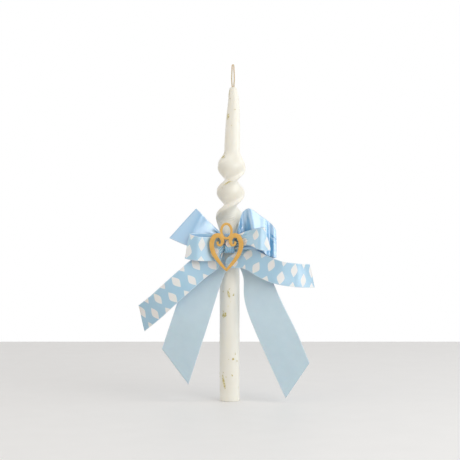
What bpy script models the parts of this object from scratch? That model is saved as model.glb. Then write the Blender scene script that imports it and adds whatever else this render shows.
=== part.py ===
"""A twisted wax taper with a looped wick, gold leaf and a double ribbon bow, at real size in metres, +Z up.
The candle stands on z = 0 with its shaft round the Z axis, and the bow faces -Y."""

from math import atan2, cos, pi, sin, sqrt, tau

import bpy
import numpy as np
from mathutils import Vector

MM = 0.001
FIT = 0.3 * MM  # clearance that pieces in touch keep

# Wax
SHAFT_RADIUS = 11 * MM
SHAFT_LENGTH = 184 * MM
TWIST_LENGTH = 91 * MM
TWIST_TOP = SHAFT_LENGTH + TWIST_LENGTH
TAPER_LENGTH = 69.5 * MM
WAX_TOP = TWIST_TOP + TAPER_LENGTH
BLADE_WIDTH = 30.6 * MM
BLADE_THICKNESS = 14.2 * MM
BLADE_FADE = 15 * MM  # length over which the round section is pressed flat
BLADE_FULLNESS = 3  # exponent of the blade's oval: 2 is an ellipse
HALF_TURN = 27.5 * MM
TURN_RAMP = 14 * MM  # length over which the twist starts and stops
FIRST_FRONT = 17.3 * MM  # height above the shaft where the blade first lies across the view
TAPER_RADIUS = 8.65 * MM
SECTION_TILT = 0.08  # fall of the pressed sections towards +X
BASE_ROUNDING = 0.8 * MM
# Outline of the tapered end: share of its length, share of its radius
TAPER_OUTLINE = [(0, 1), (0.17, 0.985), (0.49, 0.89), (0.8, 0.71), (0.935, 0.54), (0.985, 0.44), (1, 0.35)]
# The candle leans a little to +X above the shaft: share of the length above the shaft, offset
LEAN = [(0, 0), (0.29, 1.2), (0.45, 2.2), (0.57, 2.8), (0.78, 3.7), (0.92, 4.5), (1, 3.7)]
WAX_SIDES = 32
BORE_SIDES = 8

# Wick
STRAND_RADIUS = 0.7 * MM
STRAND_SPREAD = 0.85 * MM  # half the distance between the strands where they enter the wax
LOOP_SPREAD = 1.4 * MM
LOOP_HEIGHT = 25.5 * MM
DOUBLED_LENGTH = 10 * MM  # how far the loop's end is turned back into the wax
STRAND_SHIFT = 7 * MM  # length over which the single strand moves aside below that end
WICK_FOOT = 5 * MM  # wax left under the wick
POCKET_FOOT = WAX_TOP - DOUBLED_LENGTH - STRAND_SHIFT

LEAF_THICKNESS = 0.2 * MM
LEAF_CELLS = 6
LEAF_POINT = 0.85  # 1 gives ends that come to a point, and less gives blunt ones
LEAF_RAGGEDNESS = 0.18
NEARBY = 0.25 * MM  # step used to find which way the wax surface faces
# Gold leaf: name, height, angle from +X, length round the candle, length up it, tilt
LEAVES = [
    ("gold_flake_1", TWIST_TOP + 0.906 * TAPER_LENGTH, -160, 1.8 * MM, 8.0 * MM, 0),
    ("gold_flake_2", TWIST_TOP + 0.547 * TAPER_LENGTH, -138, 3.0 * MM, 4.5 * MM, 20),
    ("gold_flake_3", SHAFT_LENGTH + 0.923 * TWIST_LENGTH, -145, 4.5 * MM, 2.8 * MM, 35),
    ("gold_flake_4", SHAFT_LENGTH + 0.604 * TWIST_LENGTH, -105, 9.0 * MM, 2.2 * MM, 32),
    ("gold_flake_5", SHAFT_LENGTH + 0.176 * TWIST_LENGTH, -168, 2.4 * MM, 3.6 * MM, 10),
    ("gold_flake_6", 0.641 * SHAFT_LENGTH, -95, 2.4 * MM, 8.0 * MM, 12),
    ("gold_flake_7", 0.516 * SHAFT_LENGTH, -122, 4.6 * MM, 6.5 * MM, -30),
    ("gold_flake_8", 0.255 * SHAFT_LENGTH, -70, 2.6 * MM, 2.6 * MM, 0),
    ("gold_flake_9", 0.114 * SHAFT_LENGTH, -125, 2.8 * MM, 15.0 * MM, 14),
]

# Ribbons
SATIN_WIDTH = 38 * MM
PRINT_WIDTH = 25 * MM
RIBBON_THICKNESS = 0.4 * MM
SATIN_LOOP_REACH = 50.8 * MM
SATIN_TAIL_LEFT_REACH = 59.2 * MM
SATIN_TAIL_RIGHT_REACH = 73.7 * MM
PRINT_LOOP_LEFT_REACH = 45.8 * MM
PRINT_LOOP_RIGHT_REACH = 41.1 * MM
PRINT_TAIL_LEFT_REACH = 96.4 * MM
PRINT_TAIL_RIGHT_REACH = 90.3 * MM
CROSS_CELLS = 8

# Knot, from the wax forwards: band, glue, wrap, thread, six gathered layers, thread, wrap, glue, ornament
BAND_WIDTH = 16 * MM
BAND_DROP = 2 * MM  # from the foot of the twist down to the band
KNOT_HEIGHT = SHAFT_LENGTH - BAND_DROP - BAND_WIDTH / 2
BAND_RIPPLE = 0.35 * MM
BAND_RIPPLES = 1.5  # ripples across the band's width
BAND_ROWS = 32
GLUE_THICKNESS = 0.8 * MM
SCROLL_GLUE_THICKNESS = 2 * MM
GLUE_RADIUS = 4.5 * MM
GLUE_SIDES = 14
GLUE_OUTLINE = [(0, 0.9), (0.5, 1), (1, 0.9)]  # share of the thickness, share of the radius
THREAD_RADIUS = 0.25 * MM
THREAD_TURNS = 3
THREAD_STEPS = 20  # steps in each turn
THREAD_PITCH = 1.1 * MM
LAYER_PITCH = 1.5 * MM
LAYER_GATHERS = [13 * MM, 16 * MM, 17 * MM, 17 * MM, 16 * MM, 13 * MM]  # height of each gathered layer
PLEAT_DEPTH = 0.8 * MM
PLEAT_LENGTH = 8.5 * MM
PLEAT_FADE = 18 * MM
CUT_GAP = 0.3 * MM  # from the middle of the knot to each ribbon's end
KNOT_GRIP = 6 * MM  # how far out from the middle the layers stay gathered
WRAP_HALF_WIDTH = 5 * MM
WRAP_RIPPLE = 0.3 * MM
WRAP_ROWS = 28
HOOP_POWER = 0.5  # 1 makes the thread and the wrap an oval, and less makes them squarer

# Ornament
SCROLL_WIDTH = 37 * MM
SCROLL_HEIGHT = 54 * MM
SCROLL_THICKNESS = 3 * MM
SCROLL_STROKE = 5.2 * MM
SCROLL_END = 2.4 * MM
SCROLL_OFFSET = Vector((-3.5 * MM, 0, -4.5 * MM))  # its middle from the knot's middle
RING_STROKE = 2.6 * MM
RING_RECESS = 0.2 * MM
RING_SIDES = 32
HALF_SCROLL_CELLS = 44


def clear_scene():
    for thing in list(bpy.data.objects):
        bpy.data.objects.remove(thing, do_unlink=True)


def material(name, colour, roughness, metallic=0.0):
    made = bpy.data.materials.new(name)
    made.use_nodes = True
    shader = made.node_tree.nodes["Principled BSDF"]
    shader.inputs["Base Color"].default_value = (*colour, 1)
    shader.inputs["Roughness"].default_value = roughness
    shader.inputs["Metallic"].default_value = metallic
    return made


def mesh_object(name, points, faces, finish):
    """A mesh object with its faces turned outwards and its round parts shaded smooth."""
    points = np.asarray(points, float)
    corners = [(face[0], face[i], face[i + 1]) for face in faces for i in range(1, len(face) - 1)]
    volume = sum(np.dot(points[a], np.cross(points[b], points[c])) for a, b, c in corners)
    if volume < 0:
        faces = [tuple(reversed(face)) for face in faces]
    mesh = bpy.data.meshes.new(name)
    mesh.from_pydata(points.tolist(), [], faces)
    mesh.materials.append(finish)
    mesh.shade_smooth()
    mesh.set_sharp_from_angle(angle=pi / 4)
    made = bpy.data.objects.new(name, mesh)
    bpy.context.scene.collection.objects.link(made)
    return made


def smoothstep(low, high, value):
    share = min(max((value - low) / (high - low), 0), 1)
    return share * share * (3 - 2 * share)


def through(stops, values, at):
    """The value at one place on a smooth curve through values, which stand at rising stops."""
    last = len(stops) - 1
    i = min(max(sum(stop <= at for stop in stops) - 1, 0), last - 1)

    def slope(k):
        low, high = max(k - 1, 0), min(k + 1, last)
        return (values[high] - values[low]) / (stops[high] - stops[low])

    span = stops[i + 1] - stops[i]
    t = min(max((at - stops[i]) / span, 0), 1)
    t2, t3 = t * t, t * t * t
    ends = values[i] * (2 * t3 - 3 * t2 + 1) + values[i + 1] * (3 * t2 - 2 * t3)
    return ends + (slope(i) * (t3 - 2 * t2 + t) + slope(i + 1) * (t3 - t2)) * span


def slab(name, sheet, thickness, finish, closed=False):
    """A solid of even thickness round a grid of points. In a closed one the rows go round to the first."""
    sheet = np.asarray(sheet, float)
    rows, columns = sheet.shape[:2]
    if closed:
        along = np.roll(sheet, -1, 0) - np.roll(sheet, 1, 0)
    else:
        along = np.gradient(sheet, axis=0)
    normal = np.cross(along, np.gradient(sheet, axis=1))
    normal /= np.linalg.norm(normal, axis=2, keepdims=True)
    points = np.concatenate([sheet + normal * thickness / 2, sheet - normal * thickness / 2]).reshape(-1, 3)
    under = rows * columns

    def cell(i, j):
        return (i % rows) * columns + j

    faces = []
    steps = rows if closed else rows - 1
    for i in range(steps):
        for j in range(columns - 1):
            face = (cell(i, j), cell(i + 1, j), cell(i + 1, j + 1), cell(i, j + 1))
            faces += [face, tuple(under + k for k in reversed(face))]
        for a, b in ((cell(i, 0), cell(i + 1, 0)), (cell(i + 1, columns - 1), cell(i, columns - 1))):
            faces.append((b, a, under + a, under + b))
    if not closed:
        for j in range(columns - 1):
            for a, b in ((cell(0, j + 1), cell(0, j)), (cell(rows - 1, j), cell(rows - 1, j + 1))):
                faces.append((b, a, under + a, under + b))
    return mesh_object(name, points, faces, finish)


def tube(name, points, radius, finish, resolution):
    """A round rod along points, as a curve with a bevel and closed ends."""
    curve = bpy.data.curves.new(name, "CURVE")
    curve.dimensions = "3D"
    curve.bevel_depth = radius
    curve.bevel_resolution = resolution
    curve.use_fill_caps = True
    spline = curve.splines.new("POLY")
    spline.points.add(len(points) - 1)
    for slot, point in zip(spline.points, points):
        slot.co = (*point, 1)
        slot.radius = 1
    spline.use_smooth = True
    curve.materials.append(finish)
    made = bpy.data.objects.new(name, curve)
    bpy.context.scene.collection.objects.link(made)
    return made


# Wax taper


def turned(z):
    """How far the twist has wound at a height, as a length that ramps in and out."""

    def wound(start):
        share = min(max((z - start) / TURN_RAMP, 0), 1)
        return TURN_RAMP * (share**3 - share**4 / 2) + max(z - start - TURN_RAMP, 0)

    return wound(SHAFT_LENGTH + TURN_RAMP / 2) - wound(TWIST_TOP - 1.5 * TURN_RAMP)


def twist(z):
    """The angle that the section has turned through at a height."""
    return pi * (turned(z) - turned(SHAFT_LENGTH + FIRST_FRONT)) / HALF_TURN


def lean(z):
    shares = [share for share, _ in LEAN]
    offsets = [offset * MM for _, offset in LEAN]
    return through(shares, offsets, (z - SHAFT_LENGTH) / (WAX_TOP - SHAFT_LENGTH))


def round_radius(z):
    """The radius that the candle has at a height where it isn't pressed flat."""
    if z <= SHAFT_LENGTH:
        lift = min(max(z / BASE_ROUNDING, 0), 1)
        return SHAFT_RADIUS - BASE_ROUNDING * (1 - sqrt(1 - (1 - lift) ** 2))
    if z <= TWIST_TOP:
        return SHAFT_RADIUS + (TAPER_RADIUS - SHAFT_RADIUS) * (z - SHAFT_LENGTH) / TWIST_LENGTH
    shares = [share for share, _ in TAPER_OUTLINE]
    radii = [radius * TAPER_RADIUS for _, radius in TAPER_OUTLINE]
    return through(shares, radii, (z - TWIST_TOP) / TAPER_LENGTH)


def wax_point(z, angle):
    """The point of the wax surface at a height and at an angle in the section, which turns with the twist."""
    pressed = smoothstep(SHAFT_LENGTH, SHAFT_LENGTH + BLADE_FADE, z)
    pressed *= 1 - smoothstep(TWIST_TOP - BLADE_FADE, TWIST_TOP, z)
    radius = round_radius(z)
    half_width = radius + (BLADE_WIDTH / 2 - radius) * pressed
    half_depth = radius + (BLADE_THICKNESS / 2 - radius) * pressed
    power = 2 / (2 + (BLADE_FULLNESS - 2) * pressed)
    x = half_width * abs(cos(angle)) ** power * (1 if cos(angle) > 0 else -1)
    y = half_depth * abs(sin(angle)) ** power * (1 if sin(angle) > 0 else -1)
    turn = twist(z)
    side, back = x * cos(turn) - y * sin(turn), x * sin(turn) + y * cos(turn)
    return Vector((lean(z) + side, back, z - SECTION_TILT * pressed * side))


def ring_heights():
    """Heights of the rings of the wax: few on the plain shaft, close on the twist."""
    foot = [0, BASE_ROUNDING * 0.12, BASE_ROUNDING * 0.45, BASE_ROUNDING]
    shaft = [SHAFT_LENGTH * share for share in (0.35, 0.7, 0.9)]
    twist = [SHAFT_LENGTH + TWIST_LENGTH * i / 44 for i in range(45)]
    taper = [TWIST_TOP + TAPER_LENGTH * share for share in np.linspace(0, 0.93, 14)[1:]]
    return foot + shaft + twist + taper + [TWIST_TOP + TAPER_LENGTH * share for share in (0.96, 0.985, 1)]


def bore_radius(z):
    """The bore is wide enough for two strands where the wick is doubled, and for one below."""
    corner = cos(pi / BORE_SIDES)
    if z > POCKET_FOOT:
        return (STRAND_SPREAD + STRAND_RADIUS + FIT) / corner
    return (STRAND_RADIUS + FIT) / corner


def make_wax(finish):
    points, faces = [], []
    heights = ring_heights()
    for z in heights:
        points += [wax_point(z, tau * i / WAX_SIDES) for i in range(WAX_SIDES)]
    for ring in range(len(heights) - 1):
        for i in range(WAX_SIDES):
            low, high = ring * WAX_SIDES, (ring + 1) * WAX_SIDES
            j = (i + 1) % WAX_SIDES
            faces.append((low + i, low + j, high + j, high + i))
    faces.append(tuple(reversed(range(WAX_SIDES))))
    bore = [WAX_TOP, (WAX_TOP + POCKET_FOOT) / 2, POCKET_FOOT + FIT, POCKET_FOOT - FIT]
    bore += [POCKET_FOOT - (POCKET_FOOT - SHAFT_LENGTH) * share for share in np.linspace(0, 1, 16)[1:]]
    bore += [WICK_FOOT - FIT]
    first = len(points)
    for z in bore:
        radius = bore_radius(z)
        for i in range(BORE_SIDES):
            angle = tau * i / BORE_SIDES
            points.append(Vector((lean(z) + radius * cos(angle), radius * sin(angle), z)))
    for ring in range(len(bore) - 1):
        for i in range(BORE_SIDES):
            high, low = first + ring * BORE_SIDES, first + (ring + 1) * BORE_SIDES
            j = (i + 1) % BORE_SIDES
            faces.append((low + i, high + i, high + j, low + j))
    faces.append(tuple(first + (len(bore) - 1) * BORE_SIDES + i for i in range(BORE_SIDES)))
    rim = (len(heights) - 1) * WAX_SIDES
    each = WAX_SIDES // BORE_SIDES
    # The section has turned at the top, so the bore's corner nearest to the rim's first point is found
    start = points[rim] - Vector((lean(WAX_TOP), 0, WAX_TOP))
    near = round(atan2(start.y, start.x) / tau * BORE_SIDES) % BORE_SIDES
    for i in range(BORE_SIDES):
        inner = first + (near + i) % BORE_SIDES
        inner_next = first + (near + i + 1) % BORE_SIDES
        outer = [rim + (each * i + k) % WAX_SIDES for k in range(each + 1)]
        half = each // 2
        for k in range(each):
            faces.append((outer[k], outer[k + 1], inner if k < half else inner_next))
        faces.append((inner, outer[half], inner_next))
    return mesh_object("wax_body", points, faces, finish)


def make_wick(finish):
    """One strand up the bore, round the loop and back down beside itself. Stops are heights above the wax."""
    rise = [
        (-DOUBLED_LENGTH, -STRAND_SPREAD),
        (-DOUBLED_LENGTH / 2, -STRAND_SPREAD),
        (0, -STRAND_SPREAD),
        (LOOP_HEIGHT * 0.32, -LOOP_SPREAD),
        (LOOP_HEIGHT * 0.6, -LOOP_SPREAD * 0.9),
        (LOOP_HEIGHT * 0.85, -STRAND_SPREAD * 1.15),
    ]
    top = LOOP_HEIGHT - STRAND_RADIUS
    turn = STRAND_SPREAD
    tip = [(top - turn + turn * sin(a), -turn * cos(a)) for a in np.linspace(0, pi, 7)]
    outline = rise + tip + [(height, -side) for height, side in reversed(rise)]
    foot = np.linspace(WICK_FOOT, SHAFT_LENGTH, 4).tolist()
    foot += np.linspace(SHAFT_LENGTH, POCKET_FOOT, 18)[1:].tolist()
    points = [Vector((lean(z), 0, z)) for z in foot]
    for height, side in outline:
        points.append(Vector((lean(min(WAX_TOP + height, WAX_TOP)) + side, 0, WAX_TOP + height)))
    return tube("wick", points, STRAND_RADIUS, finish, 1)


def wax_at(z, bearing):
    """The point of the wax surface at a height and at an angle from +X."""
    return wax_point(z, bearing - twist(z))


def make_leaf(name, height, angle, around, up, tilt, finish):
    """A fleck of leaf that follows the wax, narrow at both ends of its longer side and ragged along it."""
    angle, tilt = angle * pi / 180, tilt * pi / 180
    reach = (wax_at(height, angle) - Vector((lean(height), 0, height))).length
    tall = up > around
    long_side, short_side = (up, around) if tall else (around, up)
    sheet = []
    for i in range(LEAF_CELLS + 1):
        share = i / LEAF_CELLS - 0.5
        along = share * long_side
        ragged = 1 + LEAF_RAGGEDNESS * sin(5 * i + height / MM)
        swell = cos(pi * share * LEAF_POINT) * ragged
        row = []
        for j in (-0.5, 0, 0.5):
            across = j * short_side * swell
            s, h = (across, along) if tall else (along, -across)
            s, h = s * cos(tilt) - h * sin(tilt), s * sin(tilt) + h * cos(tilt)
            z = height + h
            bearing = angle + s / reach
            here = wax_at(z, bearing)
            around_it = wax_at(z, bearing + NEARBY / reach) - here
            up_it = wax_at(z + NEARBY, bearing) - here
            outward = around_it.cross(up_it).normalized()
            row.append(here + outward * (FIT + LEAF_THICKNESS / 2))
        sheet.append(row)
    return slab(name, sheet, LEAF_THICKNESS, finish)


# Knot and bow

BAND_RADIUS = SHAFT_RADIUS + FIT + RIBBON_THICKNESS / 2
BAND_FRONT = BAND_RADIUS + BAND_RIPPLE + RIBBON_THICKNESS / 2
HALF_STACK = 2.5 * LAYER_PITCH + PLEAT_DEPTH + RIBBON_THICKNESS / 2
THREAD_HALF_DEPTH = HALF_STACK + FIT * 2 + THREAD_RADIUS
THREAD_HALF_HEIGHT = max(LAYER_GATHERS) / 2 + FIT * 1.5 + THREAD_RADIUS
WRAP_HALF_DEPTH = THREAD_HALF_DEPTH + THREAD_RADIUS + FIT + RIBBON_THICKNESS / 2
WRAP_HALF_HEIGHT = THREAD_HALF_HEIGHT + THREAD_RADIUS + FIT + RIBBON_THICKNESS / 2
GLUE_BACK = BAND_FRONT + FIT
WRAP_BACK = GLUE_BACK + GLUE_THICKNESS + FIT
KNOT_DEPTH = WRAP_BACK + RIBBON_THICKNESS / 2 + WRAP_HALF_DEPTH  # from the candle's axis to the knot's middle
WRAP_FRONT = KNOT_DEPTH + WRAP_HALF_DEPTH + WRAP_RIPPLE + RIBBON_THICKNESS / 2
SCROLL_GLUE_BACK = WRAP_FRONT + FIT
SCROLL_BACK = SCROLL_GLUE_BACK + SCROLL_GLUE_THICKNESS + FIT
KNOT = Vector((0, -KNOT_DEPTH, KNOT_HEIGHT))


def layer_depth(layer):
    """How far in front of the knot's middle a gathered layer lies, layer 0 being next to the candle."""
    return (layer - 2.5) * LAYER_PITCH


def gathered(layer, out):
    """A station inside the knot: outward, forward, up, then the ribbon's width outward, forward and up."""
    return (out, layer_depth(layer), 0, 0, 0, LAYER_GATHERS[layer])


def drawn(layer, width, reach, stations):
    """Stations of a run: out and up as shares of its reach, forward in millimetres, width as shares of itself."""
    made = []
    for out, forward, up, wide_out, wide_forward, wide_up in stations:
        place = (out * reach, layer_depth(layer) + forward * MM, up * reach)
        made.append((*place, wide_out * width, wide_forward * width, wide_up * width))
    return made


def ribbon(name, side, stations, layer_gather, cells, finish):
    """A ribbon swept through its stations, pleated in the knot and opening flat away from it."""
    values = [np.array(station) for station in stations]
    stops = [0.0]
    for before, after in zip(values, values[1:]):
        stops.append(stops[-1] + float(np.linalg.norm((after - before)[:3])))
    length = stops[-1]
    waves = layer_gather / PLEAT_LENGTH
    returns = stations[-1][0] <= KNOT_GRIP
    sheet = []
    for i in range(cells + 1):
        at = length * i / cells
        out, forward, up, wide_out, wide_forward, wide_up = through(stops, values, at)
        near = min(at, length - at) if returns else at
        pleat = PLEAT_DEPTH * (1 - smoothstep(KNOT_GRIP, KNOT_GRIP + PLEAT_FADE, near))
        row = []
        for j in range(CROSS_CELLS + 1):
            v = j / CROSS_CELLS - 0.5
            wave = pleat * cos(tau * waves * v)
            x = side * (out + wide_out * v)
            y = -(forward + wide_forward * v + wave)
            row.append(KNOT + Vector((x, y, up + wide_up * v)))
        sheet.append(row)
    return slab(name, sheet, RIBBON_THICKNESS, finish)


def make_tail(name, side, layer, width, reach, stations, cells, finish):
    run = [gathered(layer, CUT_GAP), gathered(layer, KNOT_GRIP)]
    run += drawn(layer, width, reach, stations)
    return ribbon(name, side, run, LAYER_GATHERS[layer], cells, finish)


def make_loop(name, side, layers, width, reach, out_run, fold, back_run, cells, finish):
    """A loop leaves the knot in one gathered layer, turns at its fold and comes back in the other."""
    first, last = layers
    run = [gathered(first, CUT_GAP), gathered(first, KNOT_GRIP)]
    run += drawn(first, width, reach, out_run)
    run += drawn((first + last) / 2, width, reach, [fold])
    run += drawn(last, width, reach, back_run)
    run += [gathered(last, KNOT_GRIP), gathered(last, CUT_GAP)]
    return ribbon(name, side, run, LAYER_GATHERS[first], cells, finish)


def make_ribbons(satin, printed):
    make_tail(
        "satin_tail_left", -1, 0, SATIN_WIDTH, SATIN_TAIL_LEFT_REACH,
        [
            (0.178, -3.6, -0.135, 0.29, 0, 0.56),
            (0.232, -4, -0.268, 0.68, -0.06, 0.5),
            (0.422, -1.5, -0.524, 0.95, 0, 0.31),
            (0.709, 7, -1.385, 0.88, 0, 0.62),
            (1, 6, -2.265, 0.763, 0, 1.021),
        ],
        18, satin,
    )
    make_tail(
        "satin_tail_right", 1, 0, SATIN_WIDTH, SATIN_TAIL_RIGHT_REACH,
        [
            (0.149, -2.6, -0.068, 0.15, 0, 0.52),
            (0.237, -3.4, -0.19, 0.342, 0, 0.632),
            (0.36, 0, -0.407, 0.603, 0.25, 0.468),
            (0.427, 3, -0.692, 0.818, 0.1, 0.468),
            (0.543, 6, -1.004, 0.94, 0, 0.413),
            (0.773, 9.5, -1.506, 0.87, 0, 0.7),
            (1, 8, -2.022, 0.687, 0, 1.013),
        ],
        20, satin,
    )
    make_loop(
        "satin_loop_left", -1, (2, 1), SATIN_WIDTH, SATIN_LOOP_REACH,
        [
            (0.217, -0.4, 0.03, -0.05, 0, 0.55),
            (0.492, 3.6, 0.128, -0.263, 0, 0.763),
            (0.778, 6.5, 0.291, -0.553, 0, 0.829),
        ],
        (1, -1, 0.423, -0.78, 0, 0.84),
        [
            (0.778, -8, 0.276, -0.553, 0, 0.829),
            (0.492, -3.1, 0.118, -0.263, 0, 0.763),
            (0.217, -1.4, 0.03, -0.05, 0, 0.55),
        ],
        28, satin,
    )
    make_loop(
        "satin_loop_right", 1, (1, 2), SATIN_WIDTH, SATIN_LOOP_REACH,
        [
            (0.217, -1.4, 0.118, 0, 0, 0.66),
            (0.364, -2, 0.315, -0.1, 0.02, 0.84),
            (0.571, 1, 0.394, -0.17, 0.22, 0.96),
            (0.797, -2.5, 0.217, -0.1, 0.1, 1),
        ],
        (1, -1, -0.01, 0, -0.25, 0.8),
        [
            (0.748, 3, -0.138, 0.05, -0.15, 0.42),
            (0.404, 0.6, -0.059, 0, -0.05, 0.5),
            (0.217, -0.4, -0.02, 0, 0, 0.47),
        ],
        30, satin,
    )
    make_tail(
        "printed_tail_left", -1, 3, PRINT_WIDTH, PRINT_TAIL_LEFT_REACH,
        [
            (0.114, 0.6, -0.052, 0.2, 0, 0.78),
            (0.191, 2.4, -0.164, 0.448, 0, 0.9),
            (0.344, 5, -0.28, 0.656, 0, 0.755),
            (0.519, 9, -0.43, 0.54, 0, 0.87),
            (0.672, 9, -0.568, 0.46, 0, 0.95),
            (0.83, 2.5, -0.714, 0.38, 0, 1.03),
            (1, -12, -0.856, 0.264, 0.1, 1.144),
        ],
        22, printed,
    )
    make_tail(
        "printed_tail_right", 1, 3, PRINT_WIDTH, PRINT_TAIL_RIGHT_REACH,
        [
            (0.091, 0.35, -0.044, 0.08, 0, 0.68),
            (0.095, 0.8, -0.112, 0.64, 0, 0.44),
            (0.098, 1.8, -0.174, 0.9, 0, 0.74),
            (0.216, 2.6, -0.182, 0.36, 0, 0.892),
            (0.401, 7.5, -0.278, 0.424, 0, 0.908),
            (0.587, 10.5, -0.349, 0.32, 0, 0.97),
            (0.78, 5, -0.382, 0.17, 0, 1.016),
            (0.886, -3, -0.394, -0.03, 0.05, 1.03),
            (1, -15, -0.401, -0.244, 0.1, 1.04),
        ],
        22, printed,
    )
    make_loop(
        "printed_loop_left", -1, (5, 4), PRINT_WIDTH, PRINT_LOOP_LEFT_REACH,
        [
            (0.24, 2.8, -0.055, 0, 0, 0.85),
            (0.415, 4, -0.127, 0.08, 0, 1.02),
            (0.764, 11.5, -0.12, -0.08, 0, 1.04),
        ],
        (1, 9, -0.061, -0.22, 0, 1.06),
        [
            (0.786, 6, -0.033, -0.08, 0, 1),
            (0.437, 3.6, -0.022, 0, 0, 0.9),
            (0.24, 1.8, -0.011, 0, 0, 0.76),
        ],
        26, printed,
    )
    make_loop(
        "printed_loop_right", 1, (5, 4), PRINT_WIDTH, PRINT_LOOP_RIGHT_REACH,
        [
            (0.268, 2.8, 0.061, 0, 0, 0.62),
            (0.487, 5.2, 0.146, 0, -0.25, 0.62),
            (0.779, 12, 0.109, -0.1, -0.2, 0.92),
        ],
        (1, 8.5, 0.122, -0.26, 0, 1.01),
        [
            (0.779, 5.5, 0.122, -0.1, 0, 0.95),
            (0.487, 3.2, 0.085, 0, 0, 0.8),
            (0.268, 1.9, 0.024, 0, 0, 0.7),
        ],
        26, printed,
    )


def hoop(half_height, half_depth, angle):
    """A rounded oblong round the gathered ribbons, seen along X: forward and up from the knot's middle."""
    forward = half_depth * abs(cos(angle)) ** HOOP_POWER * (1 if cos(angle) > 0 else -1)
    up = half_height * abs(sin(angle)) ** HOOP_POWER * (1 if sin(angle) > 0 else -1)
    return forward, up


def make_thread(finish):
    points = []
    for i in range(THREAD_TURNS * THREAD_STEPS + 1):
        turns = i / THREAD_STEPS
        forward, up = hoop(THREAD_HALF_HEIGHT, THREAD_HALF_DEPTH, tau * turns)
        points.append(KNOT + Vector(((turns - THREAD_TURNS / 2) * THREAD_PITCH, -forward, up)))
    return tube("binding_thread", points, THREAD_RADIUS, finish, 1)


def make_wrap(finish):
    sheet = []
    for i in range(WRAP_ROWS):
        angle = tau * i / WRAP_ROWS
        front = (1 + cos(angle)) / 2
        row = []
        for j in range(CROSS_CELLS + 1):
            v = j / CROSS_CELLS - 0.5
            ripple = WRAP_RIPPLE * (1 - cos(2 * tau * v)) / 2 * front
            forward, up = hoop(WRAP_HALF_HEIGHT + ripple, WRAP_HALF_DEPTH + ripple, angle)
            row.append(KNOT + Vector((2 * WRAP_HALF_WIDTH * v, -forward, up)))
        sheet.append(row)
    return slab("knot_wrap", sheet, RIBBON_THICKNESS, finish, closed=True)


def make_band(finish):
    sheet = []
    for i in range(BAND_ROWS):
        angle = tau * i / BAND_ROWS
        row = []
        for j in range(CROSS_CELLS + 1):
            v = j / CROSS_CELLS - 0.5
            radius = BAND_RADIUS + BAND_RIPPLE * (1 - cos(BAND_RIPPLES * tau * (v + 0.5))) / 2
            row.append(Vector((radius * cos(angle), radius * sin(angle), KNOT_HEIGHT + BAND_WIDTH * v)))
        sheet.append(row)
    return slab("candle_band", sheet, RIBBON_THICKNESS, finish, closed=True)


def make_glue(name, back, thickness, finish):
    """A pressed drop of glue between two pieces, its flat sides facing forwards and back."""
    points, faces = [], []
    sides = GLUE_SIDES
    for depth, share in GLUE_OUTLINE:
        for i in range(sides):
            angle = tau * i / sides
            radius = GLUE_RADIUS * share
            y = -(back + thickness * depth)
            points.append(Vector((radius * cos(angle), y, KNOT_HEIGHT + radius * sin(angle))))
    for ring in range(2):
        for i in range(sides):
            j = (i + 1) % sides
            faces.append((ring * sides + i, ring * sides + j, (ring + 1) * sides + j, (ring + 1) * sides + i))
    faces.append(tuple(reversed(range(sides))))
    faces.append(tuple(2 * sides + i for i in range(sides)))
    return mesh_object(name, points, faces, finish)


# Ornament

# Right half of the heart scroll from its point to the eye of its volute: shares of half the width and height
SCROLL_HALF = [
    (0, -1), (0.42, -0.66), (0.8, -0.25), (0.93, 0.16), (0.76, 0.48), (0.44, 0.53),
    (0.25, 0.33), (0.33, 0.12), (0.52, 0.13), (0.57, 0.27),
]
# Ring above the notch of the heart, in the same shares
RING_MIDDLE, RING_HALF_HEIGHT, RING_HALF_WIDTH = 0.66, 0.29, 0.3


def stroke(path, widths, thickness, closed=False):
    """A flat bar along a path of (x, z) points, as a sheet for a slab in the plane of the ornament."""
    path = np.asarray(path, float)
    if closed:
        along = np.roll(path, -1, 0) - np.roll(path, 1, 0)
    else:
        along = np.gradient(path, axis=0)
    side = np.stack([-along[:, 1], along[:, 0]], axis=1)
    side /= np.linalg.norm(side, axis=1, keepdims=True)
    middle = KNOT + SCROLL_OFFSET
    y = -(SCROLL_BACK + thickness / 2)
    sheet = []
    for point, across, width in zip(path, side, widths):
        edges = [point + across * width * share for share in (-0.5, 0.5)]
        sheet.append([Vector((middle.x + edge[0], y, middle.z + edge[1])) for edge in edges])
    return sheet


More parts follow.
